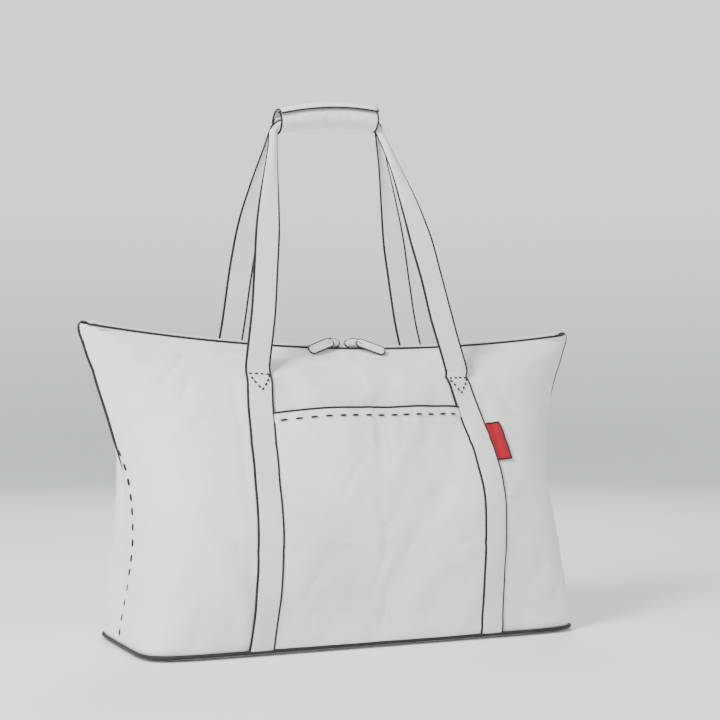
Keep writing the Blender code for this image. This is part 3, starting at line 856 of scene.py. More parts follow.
    def panel(self, columns: int, rows: int, face: Face) -> np.ndarray:
        """Grid of points of a whole panel with its folds, from the base seam to the zip.

        Args:
            columns: quads from seam to seam.
            rows: quads from base to top.
            face: the panel.

        Returns:
            An array of rows of points.
        """
        marks = [s.height for s in self.stations]
        heights = np.interp(np.linspace(0, 1, rows + 1), np.linspace(0, 1, len(marks)), marks)
        grid = np.zeros((rows + 1, columns + 1, 3))
        for j, height in enumerate(heights):
            for i, (x, y) in enumerate(self.level(float(height), columns)):
                grid[j, i] = (x, y, height * self.height_scale(x))
        du = np.gradient(grid, axis=1)
        dv = np.gradient(grid, axis=0)
        normal = np.cross(du, dv)
        normal /= np.linalg.norm(normal, axis=2)[..., None] + 1e-12
        for j, height in enumerate(heights):
            for i in range(columns + 1):
                grid[j, i] += normal[j, i] * self.folds(Vector(grid[j, i]), float(height), face)
        if face is Face.BACK:
            grid[..., :2] *= -1
        return grid


SHAPE = BodyShape()
TOP_HEIGHT = SHAPE.stations[-1].height
PIPE = 0.0021
FINE_PIPE = 0.0014


@dataclass
class Shell:
    """Front, back and base panels with their piping, seams and topstitching."""

    columns: int = 150
    rows: int = 84
    thick: float = 0.0009
    cut_area: float = 0.256
    hem_half: float = 0.0085
    hem_drop: float = 0.0030
    base_columns: int = 96
    base_lift: float = 0.0013
    piping_level: float = 0.0085
    waist: float = 0.196
    stitch_foot: float = 0.012
    stitch_top: float = 0.218

    def build(self) -> None:
        """Makes every piece of the shell."""
        for face, word in ((Face.FRONT, "front"), (Face.BACK, "back")):
            self.panel(face, word)
        self.base()
        self.ear_piping()
        self.seam_stitches()
        self.inner_tapes()

    def panel(self, face: Face, word: str) -> None:
        """Makes one panel with its hem at the zip and the piping on that hem.

        Args:
            face: the side of the bag.
            word: that side's name.
        """
        grid = SHAPE.panel(self.columns, self.rows, face)
        hem = grid[-1].copy()
        sign = face.value
        for point in hem:
            point[1] = sign * min(abs(point[1]), self.hem_half)
            point[2] = SHAPE.ridge_z(point[0]) - self.hem_drop
        rows = [*grid, (grid[-1] * 0.45 + hem * 0.55), hem]
        cloth = sheet_piece(f"{word}_shell", rows, SHELL_CLOTH, self.thick, "bag", f"{word}_panel")
        path = [Vector((p[0], p[1] + sign * 0.0004, p[2] + 0.0006)) for p in hem[2:-2]]
        cord(f"{word}_hem_piping", even_path(path, 0.006), FINE_PIPE, PIPING, "bag")
        LOG.info("%s panel", word)

    def base(self) -> None:
        """Makes the base panel and the piping round it."""
        rows = []
        for x, y in SHAPE.level(0.0, self.base_columns):
            front, back = Vector((x, y, 0.0)), Vector((x, -y, 0.0))
            row = [front.lerp(back, s) * 0.992 + UP * self.base_lift for s in np.linspace(0, 1, 25)]
            rows.append(row[::-1])
        cloth = sheet_piece("base_cloth", rows, SHELL_CLOTH, 0.0008, "bag", "base_panel")
        edge = SHAPE.level(self.piping_level, self.base_columns)
        edge += [(-x, -y) for x, y in edge[1:]][:-1]
        path = []
        for x, y in edge:
            path.append(Vector((x + math.copysign(0.0006, x), y + math.copysign(0.0006, y), 0.0052)))
        cord("base_piping", even_path(path, 0.006, True), PIPE, PIPING, "bag", True)

    def ear_piping(self) -> None:
        """Makes the piping on the edges of the two ears, round the tips and down to the waist."""
        for side, word in ((-1, "left"), (1, "right")):
            path = []
            for height in np.linspace(self.waist, TOP_HEIGHT, 26):
                station = SHAPE.station(float(height))
                fade = min((height - self.waist) / 0.03, 1.0)
                x = side * (station.width + 0.0006 - 0.0022 * (1 - fade))
                path.append(Vector((x, 0.0, height * SHAPE.height_scale(x))))
            tip = SHAPE.stations[-1].width
            path.append(Vector((side * (tip + 0.0002), 0, SHAPE.ridge_z(tip) - 0.0040)))
            path.append(Vector((side * (tip - 0.0040), 0, SHAPE.ridge_z(tip) - 0.0008)))
            for inset, drop in ((0.0110, 0.0030), (0.0150, 0.0075)):
                path.append(Vector((side * (tip - inset), 0, SHAPE.ridge_z(tip - inset) - drop)))
            cord(f"ear_piping_{word}", smooth_path(path, 0.004), PIPE, PIPING, "bag")

    def seam_stitches(self) -> None:
        """Makes the bowed row of topstitching down each gusset, below the waist."""
        for side, word in ((-1, "left"), (1, "right")):
            path = []
            for height in np.linspace(self.stitch_foot, self.stitch_top, 60):
                share = (height - self.stitch_foot) / (self.stitch_top - self.stitch_foot)
                y = 0.0015 + 0.020 * math.sin(math.pi * (1 - share) ** 0.8) ** 0.8
                level = SHAPE.level(float(height), 160)
                half = [p for p in level if p[0] * side > 0]
                half.sort(key=lambda p: -p[1])
                x = float(np.interp(y, [-p[1] for p in half], [p[0] for p in half]))
                path.append(Vector((x + side * 0.0004, -y, height * SHAPE.height_scale(x))))
            stitch_rows(f"gusset_stitches_{word}", [path], StitchStyle(radius=0.0014), "bag")

    def inner_tapes(self) -> None:
        """Dresses the binding tapes of the inner seams."""
        for name in ("side_seam_tape_left", "side_seam_tape_right"):
            dress(name, LINING)


def dress(node: str, finish: Cloth | Hard) -> None:
    """Gives a carried-over CAD node its finish.

    Args:
        node: the node's name.
        finish: what it is made of.
    """
    item = frame["nodes"][node]
    if not item.material_slots:
        item.data.materials.append(None)
    for place in item.material_slots:
        place.material = finish.make()


@dataclass
class Pocket:
    """Front slip pocket between the straps, with its hem, its dark top edge and its stitches."""

    mouth: float = 0.268
    foot: float = 0.0075
    hem_depth: float = 0.0105
    stitch_drop: float = 0.0085
    tilt: float = 0.0045

    def build(self) -> None:
        """Makes the pocket and its trim."""
        rows = []
        for height in np.linspace(self.foot, self.mouth, 70):
            rows.append(self.row(float(height), 61))
        cloth = sheet_piece("pocket_cloth_front", rows, POCKET_CLOTH, 0.0008, "bag", "front_pocket")
        edge = [p + Vector((0, -0.0003, 0.0006)) for p in self.row(self.mouth, 61)]
        cord("pocket_edge", edge, 0.00135, PIPING, "bag")
        line = [p + Vector((0, -0.0007, 0)) for p in self.row(self.mouth - self.stitch_drop, 121, 0.0012)]
        stitch_rows("pocket_stitches", [line[2:-2]], StitchStyle(), "bag")
        foot = self.mouth - self.hem_depth
        hem = [self.row(foot - drop, 61, 0.0006 - drop * 0.35) for drop in (0.0016, 0.0)]
        hem += [self.row(foot + rise, 61, 0.0007) for rise in (0.003, 0.0104)]
        fold = sheet_piece("pocket_hem", hem, POCKET_CLOTH, 0.0007, "bag")

    def row(self, height: float, count: int, out: float = 0.0) -> Row:
        """Points across the pocket, gaping a little towards the mouth.

        Args:
            height: the row's height at mid width.
            count: the number of points.
            out: a further distance outwards.

        Returns:
            The row.
        """
        gape = max((height - 0.15) / 0.118, 0.0) ** 1.4 * 0.0105
        edge = strap_x(height) - 0.0155 + 0.0030
        rise = self.tilt * (height / self.mouth) ** 3
        left, right = -edge + sway(height, -1), edge + sway(height, 1)
        points = []
        for share in np.linspace(-1, 1, count):
            swell = gape * (1 - abs(share) ** 3) + 0.0010 * (1 - abs(share) ** 8)
            x = left + (right - left) * (float(share) + 1) / 2
            points.append(SHAPE.point(x, height + rise * float(share), 0.0011 + swell + out))
        return points


def strap_x(height: float) -> float:
    """Centre line of the right strap on a panel."""
    share = height / 0.312
    return 0.146 + (0.129 - 0.146) * share**3


def sway(height: float, side: int) -> float:
    """How far the filled front pushes the left (-1) or right (1) front strap to the right."""
    reach = 0.0048 if side < 0 else 0.0012
    return reach * math.sin(math.pi * min(max(height / 0.27, 0.0), 1.0))


@dataclass
class Handles:
    """Two webbing loops from the base seam over the grip and back, each sewn down with a triangle."""

    width: float = 0.031
    thick: float = 0.0017
    sewn_top: float = 0.308
    foot: float = 0.0060
    grip_half: float = 0.064
    loop_y: float = 0.0045
    slope: float = 0.10
    bow: float = 0.008
    bend_foot: float = 0.318
    bend_top: float = 0.470

    def __post_init__(self) -> None:
        """Reads the middle of the grip from its CAD nodes."""
        low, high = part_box("grip_wrap")
        self.grip_x = (low[0] + high[0]) / 2
        self.grip_z = joint("grip_flap_open")["pos_m"][2] + GRIP_HINGE_DROP

    def build(self) -> None:
        """Makes both loops and their stitched triangles."""
        for face, word in ((Face.FRONT, "front"), (Face.BACK, "back")):
            self.loop(face, word)
            self.triangles(face, word)

    def limb(self, side: int, face: Face) -> list[Row]:
        """Rows of webbing from the base seam up to the grip, on one side of one loop.

        Args:
            side: -1 for the left limb, 1 for the right one.
            face: the side of the bag.

        Returns:
            Rows of points across the webbing.
        """
        count = 9
        shares = np.linspace(-1, 1, count)
        sign = -face.value
        rows = []
        for height in np.linspace(self.foot, self.sewn_top, 60):
            x = side * strap_x(float(height)) + (sway(float(height), side) if face is Face.FRONT else 0.0)
            row = []
            for share in shares:
                crown = 0.0004 * (1 - share**4)
                at = sign * (x + float(share) * self.width / 2)
                out = self.thick + 0.0006 + crown
                row.append(SHAPE.point(at, float(height), out, face))
            rows.append(row)
        start = rows[-1][count // 2]
        reach = side * (self.grip_half + 0.004)
        end_z = self.grip_z + self.slope * reach - 0.004
        end = Vector((self.grip_x + reach, face.value * self.loop_y, end_z))
        lean = face.value * 0.010
        path = [start, start + Vector((0, face.value * -0.0010, 0.010))]
        for share in (0.22, 0.36, 0.5, 0.64, 0.78, 0.92):
            line = start.lerp(end, share)
            bow = self.bow * math.sin(math.pi * share) * share
            path.append(line + Vector((side * bow, lean * math.sin(math.pi * share), 0)))
        path += [end + Vector((side * 0.0015, 0, -0.005)), end + Vector((-side * 0.006, 0, 0.0025))]
        inner = side * 0.040
        path += [Vector((self.grip_x + inner, end.y, self.grip_z + self.slope * inner + 0.0030))]
        path += [Vector((self.grip_x, end.y, self.grip_z + 0.0050))]
        free = smooth_path(path, 0.006)[1:]
        across = Vector((1, 0, 0))
        for i, point in enumerate(free):
            ahead = free[min(i + 1, len(free) - 1)]
            behind = free[i - 1] if i else start
            along = (ahead - behind).normalized()
            across = (across - along * across.dot(along)).normalized()
            out = across.cross(along) * -face.value
            near = min(max((point.z - self.bend_top) / (self.grip_z - 0.48), 0.0), 1.0)
            half = self.width / 2 * (1 - 0.62 * near * near * (3 - 2 * near))
            fold = 0.0050 * near * near
            ripple = 0.0010 * noise.noise(Vector((side * 3.0, face.value * 5.0, point.z * 22.0)))
            row = []
            for share in shares:
                bend = -fold * share * share + ripple * share
                row.append(point + across * (float(share) * half) + out * bend)
            rows.append(row)
        return rows

    def loop(self, face: Face, word: str) -> None:
        """Makes one webbing loop, as a left and a right piece that run from the bag up to the handle.

        Args:
            face: the side of the bag.
            word: that side's name.
        """
        for side, hand in ((-1, "left"), (1, "right")):
            rows = self.limb(side, face)
            name = f"{word}_webbing_{hand}"
            mesh = sheet_mesh(name, rows)
            self.even_uv(mesh, len(rows), len(rows[0]))
            item = make_piece(name, mesh, STRAP)
            thicken(item, self.thick, float(face.value))
            nodes = [f"{word}_strap_{hand}", f"{word}_limb_{hand}"]
            if side < 0:
                nodes.append(f"{word}_loop_top")
            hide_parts(*nodes)
            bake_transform(item)
            LOG.info("webbing loop %s %s", word, hand)

    def even_uv(self, mesh: bpy.types.Mesh, rows: int, count: int) -> None:
        """Makes the webbing's UV as wide as the webbing in every row, so that its selvedge stays on its edge.

        Args:
            mesh: the webbing's mesh.
            rows: the number of its rows.
            count: the number of points in a row.
        """
        layer = mesh.uv_layers["metres"]
        across = np.tile(np.linspace(-0.5, 0.5, count) * self.width, rows)
        pairs = np.zeros(len(mesh.loops) * 2, np.float32)
        layer.uv.foreach_get("vector", pairs)
        pairs = pairs.reshape(-1, 2)
        verts = np.zeros(len(mesh.loops), np.int32)
        mesh.loops.foreach_get("vertex_index", verts)
        pairs[:, 0] = across[verts]
        layer.uv.foreach_set("vector", pairs.reshape(-1))

    def triangles(self, face: Face, word: str) -> None:
        """Makes the stitched triangle that holds each strap down at its top.

        Args:
            face: the side of the bag.
            word: that side's name.
        """
        style = StitchStyle(0.0040, 0.0068, 0.00120)
        for side, hand in ((-1, "left"), (1, "right")):
            centre = -side * face.value * strap_x(0.305)
            top, tip = 0.3055, 0.2890
            corners = [(-0.0135, top), (0.0135, top), (0.0, tip), (-0.0135, top)]
            line = []
            for (x0, h0), (x1, h1) in zip(corners, corners[1:]):
                for share in np.linspace(0, 1, 14):
                    x = centre + x0 + (x1 - x0) * share
                    line.append(SHAPE.point(x, float(h0 + (h1 - h0) * share), self.thick + 0.0013, face))
            stitch_rows(f"{word}_triangle_{hand}", [line], style, "bag")


@dataclass
class Grip:
    """Padded wrap round both loops, closed by a flap with hook-and-loop strips."""

    half: float = 0.064
    radius: float = 0.0160
    arch: float = 0.006
    slope: float = 0.10
    plump: float = 0.0003
    wrap_span: tuple[float, float] = (55, 355)
    flap_tip: float = -54

    def __post_init__(self) -> None:
        """Reads the middle of the grip from its CAD nodes."""
        low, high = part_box("grip_wrap")
        hinge = joint("grip_flap_open")["pos_m"]
        self.centre_x = (low[0] + high[0]) / 2
        self.centre_z = hinge[2] + GRIP_HINGE_DROP

    def build(self) -> None:
        """Makes the wrap, its flap and their bound edges."""
        self.wrap()
        self.flap()
        self.strips()

    def spot(self, x: float, radius: float, degrees: float) -> Vector:
        """A point round the grip's arched centre line.

        Args:
            x: distance from the grip's middle.
            radius: distance from its centre line.
            degrees: angle from the top towards the back.

        Returns:
            The point.
        """
        rise = self.slope * x + self.arch * (1 - (x / self.half) ** 2)
        angle = math.radians(degrees)
        y = radius * math.sin(angle)
        return Vector((self.centre_x + x, y, self.centre_z + rise + radius * math.cos(angle)))

    def shell(self, radius: float, span: tuple[float, float], half: float) -> list[Row]:
        """Rows of part of the grip's padded tube, plump between its ends, with small puckers.

        Args:
            radius: its radius at the ends.
            span: the angles that it runs between.
            half: its half length.

        Returns:
            Rows of points.
        """
        rows = []
        for degrees in np.linspace(*span, 56):
            row = []
            for share in np.linspace(-1, 1, 65):
                fill = self.plump * (1 - abs(share) ** 6)
                pucker = noise.noise(Vector((share * 9, degrees * 0.02, radius * 900))) * 0.0005
                row.append(self.spot(float(share) * half, radius + fill + pucker, float(degrees)))
            rows.append(row)
        return rows

    def strips(self) -> None:
        """Makes the two hook-and-loop strips under the flap's edge."""
        for word, drop, span, body in (
            ("loop", 0.0013, (320, 352), "handle"),
            ("hook", 0.0002, (322, 350), "grip_flap"),
        ):
            rows = self.shell(self.radius - drop, span, self.half - 0.006)
            sheet_piece(f"grip_{word}_nap", rows, HOOK_TAPE, 0.0008, body, f"grip_{word}_strip")

    def wrap(self) -> None:
        """Makes the padded wrap and its bound ends."""
        rows = self.shell(self.radius - 0.0026, self.wrap_span, self.half)
        item = sheet_piece("grip_sleeve", rows, POCKET_CLOTH, 0.0031, "handle", "grip_wrap")
        for side, word in ((-1, "left"), (1, "right")):
            turns = np.linspace(*self.wrap_span, 60)
            ring = [self.spot(side * self.half, self.radius - 0.0030, turn) for turn in turns]
            cord(f"grip_end_binding_{word}", ring, 0.0013, PIPING, "handle")

    def flap(self) -> None:
        """Makes the flap that closes the wrap, and the binding along its edges."""
        radius = self.radius + 0.0014
        rows = self.shell(radius, (self.flap_tip, 120), self.half + 0.001)
        item = sheet_piece("grip_closing_flap", rows, POCKET_CLOTH, 0.0014, "grip_flap", "grip_flap")
        half = self.half + 0.0006
        turns = np.linspace(118, self.flap_tip, 34)
        rim = [self.spot(-half, radius - 0.0006, turn) for turn in turns]
        rim += [self.spot(x, radius - 0.0004, self.flap_tip - 1) for x in np.linspace(-half, half, 30)[1:-1]]
        rim += [self.spot(half, radius - 0.0006, turn) for turn in turns[::-1]]
        cord("grip_flap_binding", even_path(rim, 0.003), 0.0011, PIPING, "grip_flap")


@dataclass
class Zip:
    """Zip along the ridge: tapes, coils, stops, two sliders and their pull tabs."""

    length: float = 0.304
    tooth: float = 0.0014
    stop_at: float = 0.3085

    def build(self) -> None:
        """Makes every piece of the zip."""
        for face, word in ((Face.FRONT, "front"), (Face.BACK, "back")):
            self.tape(face, word)
            self.coil(face, word)
        for side, word in ((-1, "left"), (1, "right")):
            self.stop(side, word)
            self.slider(side, word)
            self.tab(side, word)

    def ridge_point(self, x: float, lift: float, y: float) -> Vector:
        """A point over the ridge.

        Args:
            x: distance from the middle, along the ridge's chord.
            lift: distance from the ridge towards the centre of its curve.
            y: distance from the seam plane.

        Returns:
            The point.
        """
        big = SHAPE.ridge_radius
        angle = math.asin(x / big)
        radius = big - lift
        return Vector((radius * math.sin(angle), y, SHAPE.ridge + big - radius * math.cos(angle)))

    def tape(self, face: Face, word: str) -> None:
        """Makes one woven tape from its coil down to the panel, a little wavy, with a rib beside the coil.

        Args:
            face: the side of the bag.
            word: that side's name.
        """
        rows = []
        for x in np.linspace(-self.length, self.length, 201):
            row = []
            for share in np.linspace(0, 1, 11):
                seed = Vector((float(x) * 60, float(share) * 2, face.value * 3.0))
                wave = noise.noise(seed) * 0.00025 * share
                rib = 0.00025 * math.exp(-((share - 0.12) / 0.08) ** 2)
                lift = -0.0005 - 0.0057 * share + wave + rib
                row.append(self.ridge_point(float(x), lift, face.value * (0.0042 + 0.0071 * share)))
            rows.append(row)
        sheet_piece(f"woven_zip_tape_{word}", rows, ZIP_TAPE, 0.0005, "bag", f"zip_tape_{word}", offset=0.0)

    def stop(self, side: int, word: str) -> None:
        """Makes the moulded stop that clamps one end of the two coils.

        Args:
            side: -1 for the left end, 1 for the right one.
            word: that end's name.
        """
        rows = []
        for share in np.linspace(-1, 1, 17):
            reach = max(1 - abs(share) ** 4, 0.0) ** 0.25
            row = []
            for turn in np.linspace(0, 2 * math.pi, 25):
                y, z = math.cos(turn), math.sin(turn)
                y = math.copysign(abs(y) ** 0.5, y) * (0.0006 + 0.0034 * reach)
                z = math.copysign(abs(z) ** 0.5, z) * (0.0004 + 0.0016 * reach)
                row.append(self.ridge_point(side * self.stop_at + share * 0.0030, 0.0005 + z, y))
            rows.append(row)
        sheet_piece(f"moulded_stop_{word}", rows, COIL, 0.0004, "bag", f"zip_stop_{word}")

    def coil(self, face: Face, word: str) -> None:
        """Makes one side of the coil, its turns meshed with the other side's.

        Args:
            face: the side of the bag.
            word: that side's name.
        """
        count = int(2 * self.length / self.tooth) * 2
        path, radii = [], []
        shift = 0.5 if face is Face.BACK else 0.0
        for i in range(count + 1):
            x = -self.length + 2 * self.length * i / count
            turn = i / 2 + shift
            swell = 0.5 + 0.5 * math.cos(2 * math.pi * turn)
            path.append(self.ridge_point(x, 0.0, face.value * 0.0021))
            radii.append(0.00085 + 0.00055 * swell)
        item = make_piece(f"{word}_coil", tube_mesh(f"{word}_coil", path, radii, 8), COIL)
        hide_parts(f"zip_coil_{word}")
        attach(item, "bag")

    def slider(self, side: int, word: str) -> None:
        """Makes a slider's domed body over its lower plate, its dark rim and its bail.

        Args:
            side: -1 for the left end, 1 for the right one.
            word: that end's name.
        """
        low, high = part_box(f"zip_slider_{word}")
        middle = self.ridge_point((low[0] + high[0]) / 2, 0.0, 0.0)
        body = f"slider_{word}"
        rows = []
        for share in np.linspace(-1, 1, 25):
            reach = math.sqrt(max(1 - abs(share) ** 2.6, 0.0))
            half = 0.0016 + 0.0052 * reach
            top = 0.0036 + 0.0056 * reach ** 0.8
            row = []
            for angle in np.linspace(0, 1, 25) * math.pi:
                z = 0.0022 + (top - 0.0022) * math.sin(angle) ** 0.75
                row.append(middle + Vector((share * 0.0107, half * math.cos(angle), z)))
            rows.append(row)
        sheet_piece(f"slider_cap_{word}", rows, ENAMEL, 0.0008, body, f"zip_slider_{word}", offset=1.0)
        plate = []
        for share in np.linspace(-1, 1, 15):
            half = 0.0055 * math.sqrt(max(1 - abs(share) ** 3, 0.0)) + 0.0008
            row = [middle + Vector((share * 0.0105, y * half, -0.0030)) for y in np.linspace(1, -1, 7)]
            plate.append(row)
        sheet_piece(f"slider_plate_{word}", plate, ENAMEL, 0.0011, body, offset=1.0)
        rim = []
        for angle in np.linspace(0, 2 * math.pi, 40, endpoint=False):
            lift = math.sin(angle)
            edge = Vector((0.0112 * math.cos(angle), -0.0036 + 0.0014 * lift, 0.0036 + 0.0060 * lift))
            rim.append(middle + edge)
        cord(f"slider_rim_{word}", rim, 0.0010, RIM, body, True, 8)
        pivot, along, face = self.tab_frame(side, word)
        bail = []
        for swing in np.radians(np.linspace(-48, 228, 24)):
            bail.append(pivot + along * 0.0030 * math.cos(swing) + face * 0.0030 * math.sin(swing))
        wire = cord(f"bail_{word}", bail, 0.0007, ENAMEL, body, False, 12)
        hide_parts(f"slider_bail_{word}")

    def tab_frame(self, side: int, word: str) -> tuple[Vector, Vector, Vector]:
        """Reads how a pull tab lies.

        Args:
            side: -1 for the left end, 1 for the right one.
            word: that end's name.

        Returns:
            Its pivot, the direction of its length and the direction that it faces.
        """
        pivot = Vector(joint(f"pull_tab_{word}_lift")["pos_m"])
        along = Vector((side * 0.90, -0.25, -0.335)).normalized()
        face = Vector((0, -0.86, 0.51))
        return pivot, along, (face - along * face.dot(along)).normalized()

    def tab(self, side: int, word: str) -> None:
        """Makes a moulded pull tab with a slot for the bail and a dark rim.

        Args:
            side: -1 for the left end, 1 for the right one.
            word: that end's name.
        """
        pivot, along, face = self.tab_frame(side, word)
        across = face.cross(along)
        outline = []
        radius, start, length = 0.0052, -0.0012, 0.0362
        for centre, first in ((start + length - radius, -90), (start + radius, 90)):
            for k in range(17):
                angle = math.radians(first + 180 * k / 16)
                outline.append((centre + radius * math.cos(angle), radius * math.sin(angle)))
        hole = []
        for k in range(16):
            angle = 2 * math.pi * k / 16
            hole.append((0.00345 + 0.0024 * math.cos(angle), 0.0020 * math.sin(angle)))
        curve = bpy.data.curves.new(f"tab_outline_{word}", "CURVE")
        curve.dimensions = "2D"
        curve.fill_mode = "BOTH"
        curve.extrude = 0.0004
        curve.bevel_depth = 0.0005
        curve.bevel_resolution = 2
        for loop in (outline, hole):
            spline = curve.splines.new("POLY")
            spline.points.add(len(loop) - 1)
            for point, (x, y) in zip(spline.points, loop):
                point.co = (x, y, 0, 1)
            spline.use_cyclic_u = True
        source = bpy.data.objects.new("tab_source", curve)
        bpy.context.scene.collection.objects.link(source)
        bpy.context.view_layer.update()
        mesh = bpy.data.meshes.new_from_object(source.evaluated_get(bpy.context.evaluated_depsgraph_get()))
        bpy.data.objects.remove(source, do_unlink=True)
        placed = Matrix.Translation(pivot) @ Matrix((along, across, face)).transposed().to_4x4()
        mesh.transform(placed)
        work = bmesh.new()
        work.from_mesh(mesh)
        bmesh.ops.remove_doubles(work, verts=work.verts, dist=0.00001)
        bmesh.ops.recalc_face_normals(work, faces=work.faces)
        work.to_mesh(mesh)
        work.free()
        item = make_piece(f"moulded_tab_{word}", mesh, MOULDED)
        mesh.set_sharp_from_angle(angle=math.radians(50))
        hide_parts(f"pull_tab_{word}")
        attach(item, f"tab_{word}")
        middle = Vector((start + length / 2, 0.0))
        rim = []
        for x, y in outline:
            grow = Vector((x, y)) - middle
            rim.append(placed @ Vector((middle.x + grow.x * 1.03, grow.y * 1.13, 0.0002)))
        cord(f"tab_rim_{word}", even_path(rim, 0.0012, True), 0.0011, RIM, f"tab_{word}", True, 8)
        LOG.info("slider and tab %s", word)


@dataclass
class Tags:
    """Plain red woven tag beside the right front strap."""

    low: float = 0.207
    high: float = 0.251
    reach: float = 0.020

    def build(self) -> None:
        """Makes the tag and its dark stitched edge."""
        rows = []
        for height in np.linspace(self.low, self.high, 12):
            start = strap_x(float(height)) + sway(float(height), 1) + 0.0145
            row = []
            for step in np.linspace(0, self.reach, 9):
                out = 0.0018 + 0.0016 * step / self.reach
                row.append(SHAPE.point(start + float(step), float(height), out))
            rows.append(row)
        sheet_piece("red_side_tag", rows, RED_TAG, 0.0009, "bag", "side_tag")
        edge = [row[-1] for row in rows]
        rim = rows[0][1:] + edge[1:] + rows[-1][::-1][1:-1]
        rim = [p + Vector((0, -0.0002, 0)) for p in rim]
        cord("side_tag_edge", even_path(rim, 0.002), 0.0010, PIPING, "bag", False, 8)


@dataclass
class Pouch:
    """Stow pouch behind the bag, with its flap, tag, webbing loop, ring and snap hook."""

    width: float = 0.176
    height: float = 0.232
    depth: float = 0.0100
    flap: float = 0.052
    tilt: float = math.radians(10.5)
    hook_radius: float = 0.0062
    ring_drop: float = 0.0440
    pouch_drop: float = 0.0600
    set_out: float = 0.0042
    thick: float = 0.0008
    tag_top: float = 0.1575
    tag_foot: float = 0.1985
    tag_reach: float = 0.0163

    def __post_init__(self) -> None:
        """Reads where the pouch hangs from the record."""
        out = Vector((0, math.cos(self.tilt), math.sin(self.tilt)))
        up = Vector((0, -math.sin(self.tilt), math.cos(self.tilt)))
        across = up.cross(out)
        pivot = Vector(joint("hook_swing")["pos_m"])
        self.frame = Matrix.Translation(pivot) @ Matrix((across, up, out)).transposed().to_4x4()
        self.body = self.frame @ Matrix.Translation((0, -self.pouch_drop, self.set_out))

    def build(self) -> None:
        """Makes every piece of the pouch and its hanger."""
        self.hanger()
        self.panels()
        self.flap_piece()
        self.tag()

    def path(self, points: Iterable[Sequence[float]], frame_at: Matrix | None = None) -> Path:
        """Moves points from the pouch's frame to the row's."""
        at = frame_at or self.frame
        return [at @ Vector(p) for p in points]

    def hanger(self) -> None:
        """Makes the snap hook, its gate and swivel, the ring and both loops."""
        r = self.hook_radius
        arc = [(r * math.cos(a), r * (math.sin(a) - 1), 0) for a in np.radians(np.linspace(-35, 215, 21))]
        arc += [(-0.0050, -0.0202, 0), (-0.0030, -0.0267, 0), (0.0, -0.0297, 0)]
        hook = cord("snap_hook_body", smooth_path(self.path(arc), 0.0010), 0.0015, CAST, "hook", False, 16)
        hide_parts("snap_hook")
        tip, root = Vector((0.0054, -0.0128, 0)), Vector((0.0012, -0.0270, 0))
        line = [self.frame @ tip.lerp(root, s) for s in np.linspace(0, 0.88, 12)]
        gate = cord("snap_hook_lever", line, 0.0010, CAST, "gate", False, 12)
        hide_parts("snap_hook_gate")
        stud = self.path([(0, y, 0) for y in (-0.0310, -0.0318, -0.0326, -0.0340, -0.0352, -0.0360)])
        radii = [0.0012, 0.0024, 0.0026, 0.0020, 0.0024, 0.0016]
        swivel = make_piece("hook_stud", tube_mesh("hook_stud", stud, radii, 16), CAST)
        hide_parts("hook_swivel")
        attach(swivel, "hook")
        ring = []
        for angle in np.linspace(0, 2 * math.pi, 48, endpoint=False):
            ring.append((0.0093 * math.cos(angle), 0.0062 * math.sin(angle) - self.ring_drop, 0))
        band = cord("oval_link", self.path(ring), 0.0013, CAST, "ring", True, 14)
        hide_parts("oval_ring")
        self.loops()

    def loops(self) -> None:
        """Makes the keeper loop under the bag's back hem and the webbing loop of the pouch."""
        top = Vector(joint("hook_swing")["pos_m"])
        path = [SHAPE.point(0, height, 0.0016, Face.BACK) for height in (0.334, 0.327, 0.319)]
        for angle in np.radians(np.linspace(120, -170, 11)):
            path.append(top + Vector((0, 0.0034 * math.cos(angle), 0.0034 * math.sin(angle))))
        path = smooth_path(path, 0.0006)
        halves = [0.0045 if share < 0.3 else 0.0027 for share in np.linspace(0, 1, len(path))]
        rows = self.tape_rows(path, Vector((1, 0, 0)), halves)
        sheet_piece("keeper_tape", rows, LOOP_TAPE, 0.0008, "bag", "keeper_loop", offset=0.0)
        throat, foot, gap = -self.ring_drop - 0.0050, -self.pouch_drop - 0.0080, 0.0022
        line = [(0, foot, -gap)]
        for angle in np.radians(np.linspace(180, 0, 7)):
            line.append((0, throat + 0.0034 * math.sin(angle), gap * math.cos(angle)))
        line.append((0, foot, gap))
        across = (self.frame.to_3x3() @ Vector((1, 0, 0))).normalized()
        path = smooth_path(self.path(line), 0.0006)
        ends = np.abs(np.linspace(-1, 1, len(path)))
        halves = 0.0048 + 0.0047 * np.maximum((ends - 0.2) / 0.8, 0.0)
        rows = self.tape_rows(path, across, halves)
        sheet_piece("pouch_webbing_loop", rows, BLACK_TAPE, 0.0009, "pouch", "pouch_loop", offset=0.0)

    def tape_rows(self, path: Path, across: Vector, halves: Sequence[float]) -> list[Row]:
        """Rows of a narrow tape along a path.

        Args:
            path: its middle line.
            across: the direction of its width.
            halves: its half width at each point.

        Returns:
            One row of points for each point of the path.
        """
        rows = []
        for centre, half in zip(path, halves):
            rows.append([centre + across * (float(half) * float(s)) for s in np.linspace(-1, 1, 11)])
        return rows

    def front_height(self, share: float, down: float) -> float:
        """Height of the pouch's front over its back.

        Args:
            share: share of the half width, from -1 to 1.
            down: distance below the pouch's top.

        Returns:
            The height.
        """
        side = min((1 - abs(share)) * self.width / 2 / 0.012, 1.0)
        foot = min((self.height - down) / 0.012, 1.0)
        lift = math.sin(side * math.pi / 2) * math.sin(foot * math.pi / 2)
        wave = noise.noise(Vector((share * 3.1, down * 19, 4.0))) * 0.0012 * lift
        return 0.0016 + (self.depth - 0.0024) * lift + wave

